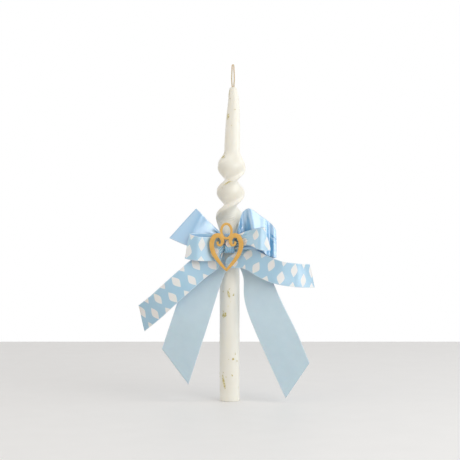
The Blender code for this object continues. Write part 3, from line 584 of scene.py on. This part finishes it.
sheet, flat = [], []
rows, columns = 110, 12
turn = tau + BAND_LAP
for i in range(rows + 1):
    angle = pi / 2 - BAND_LAP / 2 + turn * i / rows
    lift = BAND_LAP_LIFT * smoothstep(tau + BAND_LAP_RISE[0], tau + BAND_LAP_RISE[1], turn * i / rows)
    row, places = [], []
    for j in range(columns + 1):
        v = j / columns - 0.5
        ripple = BAND_RIPPLE * (1 - cos(1.5 * tau * (v + 0.5))) / 2 * (0.8 + 0.2 * cos(5 * angle))
        radius = BAND_RADIUS + lift + ripple
        row.append(Vector((radius * cos(angle), radius * sin(angle), KNOT_HEIGHT + BAND_WIDTH * v)))
        places.append((BAND_WIDTH * (v + 0.5), BAND_RADIUS * turn * i / rows))
    sheet.append(row)
    flat.append(places)
cloth_piece(
    "satin_band", sheet, flat, [satin_ribbon], ["candle_band"],
)

# Bow
# Two bows on one knot. The back one is plain satin ribbon 38 mm wide, and the front one is satin ribbon 25 mm
# wide, printed with white lozenges. Each length was gathered in the middle, and folded into a loop or left as
# a tail.

# How far the middle line of each length goes out from the middle of the knot
SATIN_LOOP_REACH = 50.8 * MM
SATIN_TAIL_LEFT_REACH = 59.2 * MM
SATIN_TAIL_RIGHT_REACH = 73.7 * MM
PRINT_LOOP_LEFT_REACH = 45.8 * MM
PRINT_LOOP_RIGHT_REACH = 41.1 * MM
PRINT_TAIL_LEFT_REACH = 96.4 * MM
PRINT_TAIL_RIGHT_REACH = 90.3 * MM
CROSS_CELLS = 48  # across each ribbon
LAYER_PITCH = 1.5 * MM  # from one layer of ribbon in the knot to the next
LAYER_GATHERS = [13 * MM, 16 * MM, 17 * MM, 17 * MM, 16 * MM, 13 * MM]  # height of each layer there
PLEATS = 5
GRIP_PLEAT_DEPTH = 0.75 * MM
PLEAT_EASE = 10 * MM  # length next to the knot in which the pleats reach their greatest depth
SLOW_WAVE = 0.9 * MM  # height of the slow waves of free ribbon
WAVE_EASE = 25 * MM  # length next to the knot in which they set in
CUT_GAP = 0.3 * MM  # from the middle of the knot to the end of each length of ribbon
KNOT_GRIP = 6 * MM  # how far the knot holds the ribbons on each side
KNOT = sum(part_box("binding_thread"), Vector()) / 2  # the thread is wound round the middle of the knot
LOZENGE_ACROSS = 14.4 * MM
LOZENGE_ALONG = 8.2 * MM
LOZENGE_BELLY = 1.5  # exponent of their sides, where 1 is straight
LOZENGE_ROW_GAP = 9.7 * MM  # from row to row across the ribbon; every other row is shifted by half a repeat
LOZENGE_REPEAT = 28 * MM  # from lozenge to lozenge along a row
INK_COVER = 0.93


def lozenges(tree, across, along):
    """Ink cover of a regular print of lozenges with bellied sides, their points across the ribbon."""
    cover = 0.0
    for shift_across, shift_along in ((0.5, 0), (-0.5, 0.5)):
        shares = []
        for place, middle, half, size in (
            (across, PRINT_WIDTH / 2 + shift_across * LOZENGE_ROW_GAP, LOZENGE_ROW_GAP, LOZENGE_ACROSS),
            (along, shift_along * LOZENGE_REPEAT, LOZENGE_REPEAT / 2, LOZENGE_ALONG),
        ):
            off = add(tree, "ShaderNodeMath", {0: place, 1: middle}, operation="SUBTRACT").outputs[0]
            off = add(tree, "ShaderNodeMath", {0: off, 1: half, 2: -half}, operation="WRAP").outputs[0]
            off = add(tree, "ShaderNodeMath", {0: off}, operation="ABSOLUTE").outputs[0]
            shares.append(add(tree, "ShaderNodeMath", {0: off, 1: size / 2}, operation="DIVIDE").outputs[0])
        bellied = add(tree, "ShaderNodeMath", {0: shares[0], 1: LOZENGE_BELLY}, operation="POWER").outputs[0]
        total = add(tree, "ShaderNodeMath", {0: bellied, 1: shares[1]}, operation="ADD").outputs[0]
        inside = add(tree, "ShaderNodeMapRange", {
            "Value": total, "From Min": 1.04, "From Max": 0.98, "To Min": 0, "To Max": INK_COVER,
        }).outputs["Result"]
        cover = add(tree, "ShaderNodeMath", {0: inside, 1: cover}, operation="MAXIMUM").outputs[0]
    return cover


# Reverse of the plain satin: its short threads lie on top, so it is paler and nearly matt. Its pale grey-blue
# is partly painted reflection, the greyish veil that the flat tails catch from the room
satin_reverse_painted_reflection = satin_finish("polyester_satin_reverse_painted_reflection", SATIN_WIDTH, "AFC6D1", "BBD0D9", 0.5, 1.8)
# Printed satin: a softer gleam under off-white lozenges of opaque ink, and plain blue on its reverse
printed_ribbon = satin_finish("printed_polyester_satin", PRINT_WIDTH, "85B4CD", "94BFD6", 0.32, 2.5, "E3E0DB")
printed_back = satin_finish("printed_ribbon_reverse", PRINT_WIDTH, "7AB4DA", "87BFE2", 0.32, 2.5)
# Finishes of a length's outer side, and of its inner side where that differs
bright_out = [satin_ribbon]
dull_out = [satin_reverse_painted_reflection, satin_ribbon]
print_out = [printed_ribbon, printed_back]


def layer_depth(layer):
    """How far in front of the knot's middle a gathered layer lies, layer 0 being next to the candle."""
    return (layer - 2.5) * LAYER_PITCH


def gathered(layer, out):
    """A station inside the knot: outward, forward, up, then the ribbon's width outward, forward and up."""
    return (out, layer_depth(layer), 0, 0, 0, LAYER_GATHERS[layer])


def drawn(layer, width, reach, stations):
    """Stations of a run: out and up as shares of its reach, forward in millimetres, and the way across the
    ribbon as shares of its width."""
    made = []
    for out, forward, up, wide_out, wide_forward, wide_up in stations:
        place = (out * reach, layer_depth(layer) + forward * MM, up * reach)
        made.append((*place, wide_out * width, wide_forward * width, wide_up * width))
    return made


def pleat_slope(fullness):
    """The slope of pleats that take up a cloth this many times as wide as the space that it lies in, by a
    close fit to the length of a sine wave."""
    return (max(fullness, 1) ** 1.8 - 1) ** (1 / 1.8) * pi / 2


def ribbon(side, width, stations, cells, seed, pleats, folds, print_start):
    """Rows of points and of flat places of a ribbon that follows its stations, and its length. Where the
    stations leave it less than its width it lies in pleats. pleats gives their greatest depth and the length
    over which they open, for the way out and, where it differs, for the way back. folds are broad waves
    across it: share of the length, spread of that share, waves across, phase and depth in millimetres.
    print_start is where along its repeat the print begins."""
    values = [np.array(station) for station in stations]
    stops = [0.0]
    for before, after in zip(values, values[1:]):
        stops.append(stops[-1] + float(np.linalg.norm((after - before)[:3])))
    length = stops[-1]
    run = np.array([through(stops, values, length * i / cells) for i in range(cells + 1)])
    ways = np.gradient(run[:, :3], axis=0)
    ways /= np.linalg.norm(ways, axis=1, keepdims=True)
    returns = stations[-1][0] <= KNOT_GRIP
    sheet, flat = [], []
    centre = 0.0
    for i in range(cells + 1):
        at = length * i / cells
        if i:
            centre += float(np.linalg.norm(run[i, :3] - run[i - 1, :3]))
        near = min(at, length - at) if returns else at
        deepest, fade = pleats[-1] if returns and at > length / 2 else pleats[0]
        slant = float(np.dot(run[i, 3:], ways[i]))
        normal = np.cross(ways[i], run[i, 3:])
        chord = float(np.linalg.norm(normal))
        normal /= chord
        deeper = (deepest - GRIP_PLEAT_DEPTH) * smoothstep(KNOT_GRIP, KNOT_GRIP + PLEAT_EASE, near)
        full = min(pleat_slope(width / chord) * chord / (tau * PLEATS), GRIP_PLEAT_DEPTH + deeper)
        free = smoothstep(KNOT_GRIP, KNOT_GRIP + WAVE_EASE, near)
        row, places = [], []
        for j in range(CROSS_CELLS + 1):
            v = side * (j / CROSS_CELLS - 0.5)
            opens = fade * (0.75 + 0.6 * noise.noise(Vector((v * 4.5, side, seed))))
            pleat = full * (1 - smoothstep(KNOT_GRIP, KNOT_GRIP + opens, near))
            wave = pleat * cos(tau * PLEATS * v + 0.6 * sin(7 * v + seed))
            lift = SLOW_WAVE * free * noise.noise(Vector((at * 22, v * 1.6, seed + 3)))
            for share, spread, waves, phase, depth in folds:
                close = exp(-(((at / length - share) / spread) ** 2))
                lift += depth * MM * close * cos(tau * (waves * v + phase))
            out, forward, up = run[i, :3] + run[i, 3:] * v + normal * lift
            row.append(KNOT + Vector((side * out, -(forward + wave), up)))
            places.append((width * (0.5 + side * v), centre + v * slant + print_start))
        sheet.append(row)
        flat.append(places)
    return sheet, flat, length


def ribbon_piece(node, side, width, stations, cells, seed, faces, pleats, folds=(), print_start=0.0):
    """One length of ribbon from the knot outward, to the right for side 1 and to the left for side -1."""
    sheet, flat, length = ribbon(side, width, stations, cells, seed, pleats, folds, print_start)
    cloth_piece(node + "_ribbon", sheet, flat, faces, [node])


def tail(layer, width, reach, stations):
    """Stations of a tail, from the knot to its cut end."""
    return [gathered(layer, CUT_GAP), gathered(layer, KNOT_GRIP)] + drawn(layer, width, reach, stations)


def loop(layers, width, reach, out_run, fold, back_run):
    """Stations of a loop, from the knot to its fold and back to the knot in another layer."""
    first, last = layers
    run = [gathered(first, CUT_GAP), gathered(first, KNOT_GRIP)]
    run += drawn(first, width, reach, out_run)
    run += drawn((first + last) / 2, width, reach, [fold])
    run += drawn(last, width, reach, back_run)
    return run + [gathered(last, KNOT_GRIP), gathered(last, CUT_GAP)]


run = tail(0, SATIN_WIDTH, SATIN_TAIL_LEFT_REACH, [
    (0.178, -3.6, -0.135, 0.29, 0, 0.56),
    (0.232, -4, -0.268, 0.68, -0.06, 0.5),
    (0.422, -1.5, -0.524, 0.95, 0, 0.31),
    (0.709, 7, -1.385, 0.88, 0, 0.62),
    (1, 6, -2.265, 0.763, 0, 1.021),
])
ribbon_piece(
    "satin_tail_left", -1, SATIN_WIDTH, run, cells=110, seed=1.0, faces=dull_out,
    pleats=[(1.2 * MM, 22 * MM)],
)
run = tail(0, SATIN_WIDTH, SATIN_TAIL_RIGHT_REACH, [
    (0.149, -2.6, -0.068, 0.15, 0, 0.52),
    (0.237, -3.4, -0.19, 0.342, 0, 0.632),
    (0.36, 0, -0.407, 0.603, 0.25, 0.468),
    (0.427, 3, -0.692, 0.818, 0.1, 0.468),
    (0.543, 6, -1.004, 0.94, 0, 0.413),
    (0.773, 9.5, -1.506, 0.87, 0, 0.7),
    (1, 8, -2.022, 0.687, 0, 1.013),
])
ribbon_piece(
    "satin_tail_right", 1, SATIN_WIDTH, run, cells=120, seed=2.0, faces=dull_out,
    pleats=[(1.2 * MM, 26 * MM)],
)
run = loop(
    (2, 1), SATIN_WIDTH, SATIN_LOOP_REACH,
    [
        (0.217, -0.6, 0.03, -0.05, -0.12, 0.55),
        (0.492, 1.6, 0.128, -0.263, -0.22, 0.763),
        (0.64, 3.2, 0.202, -0.41, -0.22, 0.8),
        (0.8, 3.8, 0.306, -0.575, -0.1, 0.829),
    ],
    (1, -1, 0.423, -0.78, 0, 0.84),
    [
        (0.778, -8, 0.276, -0.553, 0, 0.829),
        (0.492, -3.1, 0.118, -0.263, 0, 0.763),
        (0.217, -1.4, 0.03, -0.05, 0, 0.55),
    ],
)
ribbon_piece(
    "satin_loop_left", -1, SATIN_WIDTH, run, cells=150, seed=3.0, faces=bright_out,
    pleats=[(1.3 * MM, 30 * MM)],
)
run = loop(
    (1, 2), SATIN_WIDTH, SATIN_LOOP_REACH,
    [
        (0.187, 0.6, 0.132, 0.02, 0, 0.7),
        (0.289, -4.4, 0.309, -0.08, 0, 0.86),
        (0.375, -2.2, 0.37, -0.11, -0.1, 0.91),
        (0.48, 3.2, 0.39, -0.13, -0.22, 0.94),
        (0.652, 3, 0.244, -0.05, -0.26, 0.98),
        (0.77, 2.8, 0.143, 0, -0.26, 1),
        (0.85, -0.8, 0.086, 0, -0.24, 0.98),
        (0.94, 1.9, 0.026, 0, -0.22, 0.9),
    ],
    (1, 0, -0.03, 0, -0.2, 0.75),
    [
        (0.92, -3.6, -0.1, 0, 0, 0.6),
        (0.748, -4.5, -0.165, 0, 0.05, 0.46),
        (0.52, -4, -0.17, 0, 0, 0.44),
        (0.36, -0.8, -0.135, 0, 0, 0.44),
        (0.217, -0.4, -0.04, 0, 0, 0.47),
    ],
)
ribbon_piece(
    "satin_loop_right", 1, SATIN_WIDTH, run, cells=160, seed=4.0, faces=bright_out,
    pleats=[(1.2 * MM, 20 * MM), (3 * MM, 90 * MM)], folds=[(0.76, 0.08, 1, 0.1, 2.5)],
)
run = tail(3, PRINT_WIDTH, PRINT_TAIL_LEFT_REACH, [
    (0.114, 0.6, -0.052, 0.2, 0, 0.78),
    (0.191, 2.4, -0.164, 0.448, 0, 0.9),
    (0.344, 5, -0.28, 0.656, 0, 0.755),
    (0.519, 9, -0.43, 0.54, 0, 0.87),
    (0.672, 9, -0.568, 0.46, 0, 0.95),
    (0.83, 2.5, -0.714, 0.38, 0, 1.03),
    (1, -12, -0.856, 0.264, 0.1, 1.144),
])
ribbon_piece(
    "printed_tail_left", -1, PRINT_WIDTH, run, cells=120, seed=5.0, faces=print_out,
    pleats=[(1 * MM, 18 * MM)], print_start=-3.3 * MM,
)
run = tail(3, PRINT_WIDTH, PRINT_TAIL_RIGHT_REACH, [
    (0.091, 0.35, -0.044, 0.08, 0, 0.68),
    (0.095, 0.8, -0.112, 0.86, 0, 0.44),
    (0.098, 1.8, -0.174, 1, 0, 0.74),
    (0.216, 2.6, -0.182, 0.36, 0, 0.892),
    (0.401, 7.5, -0.278, 0.424, 0, 0.908),
    (0.587, 10.5, -0.349, 0.32, 0, 0.97),
    (0.78, 5, -0.382, 0.17, 0, 1.016),
    (0.886, -3, -0.394, -0.03, 0.05, 1.03),
    (1, -15, -0.401, -0.244, 0.1, 1.04),
])
ribbon_piece(
    "printed_tail_right", 1, PRINT_WIDTH, run, cells=120, seed=6.0, faces=print_out,
    pleats=[(1 * MM, 18 * MM)], print_start=-4.5 * MM,
)
run = loop(
    (5, 4), PRINT_WIDTH, PRINT_LOOP_LEFT_REACH,
    [
        (0.24, 2.8, -0.055, 0, 0, 0.85),
        (0.415, 4, -0.127, 0.08, 0, 1.02),
        (0.764, 9.7, -0.12, -0.08, -0.08, 1.04),
    ],
    (1, 8.5, -0.061, -0.22, 0, 1.06),
    [
        (0.786, 6, -0.033, -0.08, 0, 1),
        (0.437, 3.6, -0.022, 0, 0, 0.9),
        (0.24, 1.8, -0.011, 0, 0, 0.76),
    ],
)
ribbon_piece(
    "printed_loop_left", -1, PRINT_WIDTH, run, cells=140, seed=7.0, faces=print_out,
    pleats=[(1 * MM, 22 * MM)], print_start=9.1 * MM,
)
run = loop(
    (5, 4), PRINT_WIDTH, PRINT_LOOP_RIGHT_REACH,
    [
        (0.268, 2.8, 0.061, 0, 0, 0.62),
        (0.487, 5.2, 0.146, 0, -0.25, 0.62),
        (0.779, 12, 0.109, -0.1, -0.2, 0.92),
    ],
    (1, 8.5, 0.122, -0.26, 0, 1.01),
    [
        (0.779, 5.5, 0.122, -0.1, 0, 0.95),
        (0.487, 3.2, 0.085, 0, 0, 0.8),
        (0.268, 1.9, 0.024, 0, 0, 0.7),
    ],
)
ribbon_piece(
    "printed_loop_right", 1, PRINT_WIDTH, run, cells=140, seed=8.0, faces=print_out,
    pleats=[(1 * MM, 30 * MM)], print_start=-3 * MM,
)

# Binding and knot
# Polyester thread is wound three times round the gathered middle, and a strip of the printed ribbon, 15 mm
# wide, is drawn over it in creases and glued behind. Clear glue holds the knot to the band and the scroll to
# the knot.

# The thread is wound round the ribbons' solids, whose pleats are this deep, and which are thicker than ribbon
SOLID_PLEAT = 0.8 * MM
SOLID_HALF_THICKNESS = 0.2 * MM
HALF_STACK = 2.5 * LAYER_PITCH + SOLID_PLEAT + SOLID_HALF_THICKNESS
THREAD_RADIUS = 0.25 * MM
THREAD_HALF_DEPTH = HALF_STACK + FIT * 2 + THREAD_RADIUS
THREAD_HALF_HEIGHT = max(LAYER_GATHERS) / 2 + FIT * 1.5 + THREAD_RADIUS
WRAP_HALF_DEPTH = THREAD_HALF_DEPTH + THREAD_RADIUS + FIT + SOLID_HALF_THICKNESS
WRAP_HALF_HEIGHT = THREAD_HALF_HEIGHT + THREAD_RADIUS + FIT + SOLID_HALF_THICKNESS
WRAP_HALF_WIDTH = 5.4 * MM
WRAP_WAIST = 0.1  # share by which the knot narrows in front
WRAP_STRIP = 15 * MM
STRIP_FOLD = 5 * MM  # of the ribbon, folded in along each edge of the strip
WRAP_CREASES = 4.5  # across the strip
WRAP_CREASE = 0.75 * MM
WRAP_CRUMPLE = 0.3 * MM
WRAP_LAP_LIFT = 0.35 * MM
HOOP_POWER = 0.5  # exponent of the knot's section, where 1 is an ellipse
PLY = 0.605 * MM  # spacing of the thread's plies, drawn coarser than real ones so that they show
WAVE_PITCH = 0.363  # spacing of the wave node's diagonal bands at scale 1, in metres
GLUE_CLOUD = 2 * MM  # size of the milky places

# Spun polyester thread: two fine plies, laid slanting round it
spun_thread, tree, shader = finish("spun_polyester_thread", {"Roughness": 0.6, "Sheen Weight": 0.2})
place = add(tree, "ShaderNodeTexCoord", {}).outputs["Object"]
plies = add(tree, "ShaderNodeTexWave", {
    "Vector": place, "Scale": WAVE_PITCH / PLY, "Distortion": 1.5,
}, bands_direction="DIAGONAL").outputs["Fac"]
tint = add(tree, "ShaderNodeMix", {
    "Factor": plies, "A": linear("D9DEE2"), "B": linear("F2F4F5"),
}, data_type="RGBA")
tree.links.new(tint.outputs["Result"], shader.inputs["Base Color"])
bump = add(tree, "ShaderNodeBump", {"Height": plies, "Strength": 0.5, "Distance": 0.08 * MM})
tree.links.new(bump.outputs["Normal"], shader.inputs["Normal"])
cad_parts["binding_thread"].data.materials[0] = spun_thread

# Hot-melt glue: clear and slightly milky, with the gloss of plastic that set in air
hot_glue, tree, shader = finish("hot_melt_glue", {
    "IOR": 1.48, "Subsurface Weight": 0.4, "Subsurface Scale": 2 * MM,
})
place = add(tree, "ShaderNodeTexCoord", {}).outputs["Object"]
milk = add(tree, "ShaderNodeTexNoise", {
    "Vector": place, "Scale": 1 / GLUE_CLOUD, "Detail": 2,
}).outputs["Fac"]
tint = add(tree, "ShaderNodeMix", {
    "Factor": milk, "A": linear("E4E1D6"), "B": linear("F3F1EA"),
}, data_type="RGBA")
tree.links.new(tint.outputs["Result"], shader.inputs["Base Color"])
dullness = add(tree, "ShaderNodeMapRange", {"Value": milk, "To Min": 0.2, "To Max": 0.35})
tree.links.new(dullness.outputs["Result"], shader.inputs["Roughness"])
for node_name in ("bow_glue_pad", "scroll_glue_pad"):
    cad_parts[node_name].data.materials[0] = hot_glue


def hoop(half_height, half_depth, angle):
    """A rounded oblong round the gathered ribbons, seen along X: forward and up from the knot's middle."""
    forward = half_depth * abs(cos(angle)) ** HOOP_POWER * (1 if cos(angle) > 0 else -1)
    up = half_height * abs(sin(angle)) ** HOOP_POWER * (1 if sin(angle) > 0 else -1)
    return forward, up


sheet, flat = [], []
rows, columns = 120, 40
along = 0.0
for i in range(rows + 1):
    angle = pi + tau * i / rows
    front = (1 + cos(angle)) / 2
    lap = WRAP_LAP_LIFT * smoothstep(0.97, 1, i / rows)
    row, places = [], []
    for j in range(columns + 1):
        v = j / columns - 0.5
        drift = v + 0.05 * sin(angle * 2) + 0.03 * sin(angle * 5 + 1)
        crease = WRAP_CREASE * (0.5 + 0.5 * cos(tau * WRAP_CREASES * drift)) * (0.35 + 0.65 * front)
        crease += WRAP_CRUMPLE * noise.noise(Vector((v * 11, angle * 2.5, 4)))
        forward, up = hoop(WRAP_HALF_HEIGHT + crease + lap, WRAP_HALF_DEPTH + crease + lap, angle)
        waist = WRAP_HALF_WIDTH * (1 - WRAP_WAIST * front * cos(angle) ** 2)
        row.append(KNOT + Vector((2 * waist * v, -forward, up)))
        places.append((WRAP_STRIP * (0.5 - v) + STRIP_FOLD, 0))
    if i:
        along += float((row[columns // 2] - sheet[-1][columns // 2]).length)
    sheet.append(row)
    flat.append([(x, along) for x, _ in places])
cloth_piece(
    "knot_wrap_ribbon", sheet, flat, [printed_ribbon, printed_back], ["knot_wrap"],
)

# Scroll
# A heart scroll with a hanging ring, cut by laser from acrylic sheet 3 mm thick with a gold mirror coat under
# a clear face. Its edges were eased. It is glued on the knot.

SCROLL_WIDTH = 37 * MM
SCROLL_HEIGHT = 54 * MM
SCROLL_THICKNESS = 3 * MM
SCROLL_STROKE = 5.2 * MM
SCROLL_END = 2.4 * MM  # width of the stroke at the heart's point and at the curls' ends
SCROLL_OFFSET = Vector((-3.5 * MM, 0, -4.5 * MM))
SCROLL_BACK = -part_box("gilt_scroll")[1].y
RING_STROKE = 2.6 * MM
# right half of the heart, from its point to the curl's end, in shares of the half width and half height
SCROLL_HALF = [
    (0, -1), (0.42, -0.66), (0.8, -0.25), (0.93, 0.16), (0.76, 0.48), (0.44, 0.53),
    (0.25, 0.33), (0.33, 0.12), (0.52, 0.13), (0.57, 0.27),
]
RING_MIDDLE, RING_HALF_HEIGHT, RING_HALF_WIDTH = 0.66, 0.29, 0.3  # shares of the scroll's half size
RING_RECESS = 0.06 * MM  # by which each face of the ring lies inside the heart's, so that they join cleanly
RING_SIDES = 72
SCROLL_STEPS = 110  # along each half
SCROLL_EASE = 0.35 * MM
GILT_HAZE = 3.846 * MM  # size of the slow changes in the gold

# Gold-coated acrylic: a warm metal face with a fine satin haze, where the studio shows only as broad light
gilt_acrylic, tree, shader = finish("gold_coated_acrylic", {
    "Metallic": 0.75, "Coat Weight": 0.35, "Coat Roughness": 0.2,
})
place = add(tree, "ShaderNodeTexCoord", {}).outputs["Object"]
haze = add(tree, "ShaderNodeTexNoise", {
    "Vector": place, "Scale": 1 / GILT_HAZE, "Detail": 3,
}).outputs["Fac"]
tint = add(tree, "ShaderNodeMix", {
    "Factor": haze, "A": linear("CC9A4A"), "B": linear("E0B364"),
}, data_type="RGBA")
tree.links.new(tint.outputs["Result"], shader.inputs["Base Color"])
dullness = add(tree, "ShaderNodeMapRange", {"Value": haze, "To Min": 0.32, "To Max": 0.45})
tree.links.new(dullness.outputs["Result"], shader.inputs["Roughness"])


def stroke_outline(path, widths):
    """The two edges of a flat stroke along a path of (x, z) points."""
    way = np.gradient(path, axis=0)
    side = np.stack([-way[:, 1], way[:, 0]], axis=1)
    side /= np.linalg.norm(side, axis=1, keepdims=True)
    half = np.asarray(widths)[:, None] / 2
    return path + side * half, path - side * half


def cut_plate(name, quads, outline, recess):
    """A flat plate from an outline strip of quads, in the plane of the scroll."""
    middle = KNOT + SCROLL_OFFSET
    points = []
    for depth in (SCROLL_BACK + recess, SCROLL_BACK + SCROLL_THICKNESS - recess):
        points += [(middle.x + x, -depth, middle.z + z) for x, z in outline]
    count = len(outline)
    faces = [tuple(reversed(quad)) for quad in quads]
    faces += [tuple(count + k for k in quad) for quad in quads]
    edges = {}
    for quad in quads:
        for a, b in zip(quad, quad[1:] + quad[:1]):
            edges[(a, b)] = True
    for a, b in edges:
        if (b, a) not in edges:
            faces.append((a, b, count + b, count + a))
    mesh = bpy.data.meshes.new(name)
    mesh.from_pydata(points, [], faces)
    mesh.materials.append(gilt_acrylic)
    made = bpy.data.objects.new(name, mesh)
    bpy.context.scene.collection.objects.link(made)
    return made


inner_width = SCROLL_WIDTH / 2 - SCROLL_STROKE / 2
inner_height = SCROLL_HEIGHT / 2 - SCROLL_STROKE / 2
widest = max(x for x, _ in SCROLL_HALF)
spots = [np.array((x * inner_width / widest, z * inner_height)) for x, z in SCROLL_HALF]
stops = list(range(len(spots)))
half = [through(stops, spots, stops[-1] * i / SCROLL_STEPS) for i in range(SCROLL_STEPS + 1)]
path = np.array([spot * (-1, 1) for spot in reversed(half)] + half[1:])
widths = []
for i in range(-SCROLL_STEPS, SCROLL_STEPS + 1):
    swell = sin(pi * min(abs(i) / SCROLL_STEPS * 1.25, 1))
    widths.append(SCROLL_END + (SCROLL_STROKE - SCROLL_END) * swell)
left, right = stroke_outline(path, widths)
count = len(path)
outline = [tuple(spot) for spot in left] + [tuple(spot) for spot in right]
quads = [(i, i + 1, count + i + 1, count + i) for i in range(count - 1)]
scroll = cut_plate("heart_scroll", quads, outline, 0)
ring_middle = RING_MIDDLE * SCROLL_HEIGHT / 2
tall, wide = RING_HALF_HEIGHT * SCROLL_HEIGHT / 2, RING_HALF_WIDTH * SCROLL_WIDTH / 2
outline = []
for shift in (RING_STROKE / 2, -RING_STROKE / 2):
    for i in range(RING_SIDES):
        a = tau * i / RING_SIDES
        slope = Vector((sin(a) * tall, -cos(a) * wide)).normalized() * shift
        outline.append((wide * sin(a) + slope.x, ring_middle - tall * cos(a) + slope.y))
quads = []
for i in range(RING_SIDES):
    j = (i + 1) % RING_SIDES
    quads.append((i, j, RING_SIDES + j, RING_SIDES + i))
ring = cut_plate("scroll_ring_cutter", quads, outline, RING_RECESS)
union = scroll.modifiers.new("ring", "BOOLEAN")
union.operation = "UNION"
union.solver = "EXACT"
union.object = ring
ease = scroll.modifiers.new("eased_edges", "BEVEL")
ease.width = SCROLL_EASE
ease.segments = 3
ease.limit_method = "ANGLE"
ease.angle_limit = radians(50)
bpy.context.view_layer.update()
whole = bpy.data.meshes.new_from_object(scroll.evaluated_get(bpy.context.evaluated_depsgraph_get()))
scroll.modifiers.clear()
scroll.data = whole
bpy.data.objects.remove(ring, do_unlink=True)
scroll.data.shade_smooth()
scroll.data.set_sharp_from_angle(angle=radians(35))
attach(scroll, "root")
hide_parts("gilt_scroll")

# Table, light and camera
# A plain pale table and a plain white background. A large soft window stands to the right, with a weaker lamp
# beside it for the right edges, and wide warm light comes from the left. The camera stands in front, at the
# height and distance that fit the photograph.

TABLE_REACH = 3  # how far the table goes to each side and to the front
TABLE_BACK = 0.693  # from the candle to the table's far edge, which shows behind it in the photograph
PAINT_CLOUD = 33.333 * MM  # size of the slow changes in its paint
BACKGROUND_LIGHT = 0.62

# Painted board: pale and nearly matt, so it takes the candle's soft shadow
pale_table, tree, shader = finish("pale_painted_board", {"Roughness": 0.55})
place = add(tree, "ShaderNodeTexCoord", {}).outputs["Object"]
paint = add(tree, "ShaderNodeTexNoise", {
    "Vector": place, "Scale": 1 / PAINT_CLOUD, "Detail": 2,
}).outputs["Fac"]
tint = add(tree, "ShaderNodeMix", {
    "Factor": paint, "A": linear("EDEBE9"), "B": linear("F1EFED"),
}, data_type="RGBA")
tree.links.new(tint.outputs["Result"], shader.inputs["Base Color"])
mesh = bpy.data.meshes.new("table")
corners = [(-TABLE_REACH, -TABLE_REACH), (TABLE_REACH, -TABLE_REACH)]
corners += [(TABLE_REACH, TABLE_BACK), (-TABLE_REACH, TABLE_BACK)]
mesh.from_pydata([(x, y, 0) for x, y in corners], [], [(0, 1, 2, 3)])
mesh.materials.append(pale_table)
table = bpy.data.objects.new("table", mesh)
bpy.context.scene.collection.objects.link(table)

world = bpy.data.worlds.new("studio")
bpy.context.scene.world = world
world.use_nodes = True
tree = world.node_tree
tree.nodes.clear()
# The background is white to the camera and in reflections, and lights the scene at a lower strength
rays = add(tree, "ShaderNodeLightPath", {})
seen = rays.outputs["Is Camera Ray"]
for kind in ("Is Glossy Ray", "Is Transmission Ray"):
    seen = add(tree, "ShaderNodeMath", {0: seen, 1: rays.outputs[kind]}, operation="MAXIMUM").outputs[0]
strength = add(tree, "ShaderNodeMapRange", {
    "Value": seen, "To Min": BACKGROUND_LIGHT, "To Max": 1,
}).outputs["Result"]
backdrop = add(tree, "ShaderNodeBackground", {"Color": (1, 1, 1, 1), "Strength": strength})
add(tree, "ShaderNodeOutputWorld", {"Surface": backdrop.outputs["Background"]})


def soft_light(name, place, aim, size, power, colour):
    """A rectangular lamp that faces a point, with its size in metres and its power in watts."""
    lamp = bpy.data.lights.new(name, "AREA")
    lamp.shape = "RECTANGLE"
    lamp.size, lamp.size_y = size
    lamp.energy = power
    lamp.color = colour
    made = bpy.data.objects.new(name, lamp)
    made.location = place
    made.rotation_euler = (Vector(aim) - Vector(place)).to_track_quat("-Z", "Y").to_euler()
    bpy.context.scene.collection.objects.link(made)


soft_light("window", (1.05, -1.2, 0.9), (0, 0, 0.17), (1.2, 1.2), 10.6, (0.96, 0.985, 1))
soft_light("right_edge", (1.5, -0.1, 0.5), (0, 0, 0.2), (0.5, 1.0), 5.2, (0.94, 0.98, 1))
soft_light("left_fill", (-1.55, -0.95, 0.55), (0, 0, 0.17), (2.4, 2.4), 9, (1, 0.9, 0.76))

CAMERA_PLACE = Vector((0, -1.6, 0.215))
CAMERA_AIM = Vector((0.0004, 0, 0.188))
FRAME_WIDTH = 0.506  # width of the picture at the candle
SENSOR_WIDTH = 36
camera_data = bpy.data.cameras.new("camera")
camera_data.sensor_width = SENSOR_WIDTH
camera_data.lens = SENSOR_WIDTH * (CAMERA_AIM - CAMERA_PLACE).length / FRAME_WIDTH
camera = bpy.data.objects.new("camera", camera_data)
camera.location = CAMERA_PLACE
camera.rotation_euler = (CAMERA_AIM - CAMERA_PLACE).to_track_quat("-Z", "Y").to_euler()
bpy.context.scene.collection.objects.link(camera)
bpy.context.scene.camera = camera
bpy.context.scene.view_settings.view_transform = "Standard"

bpy.context.view_layer.update()
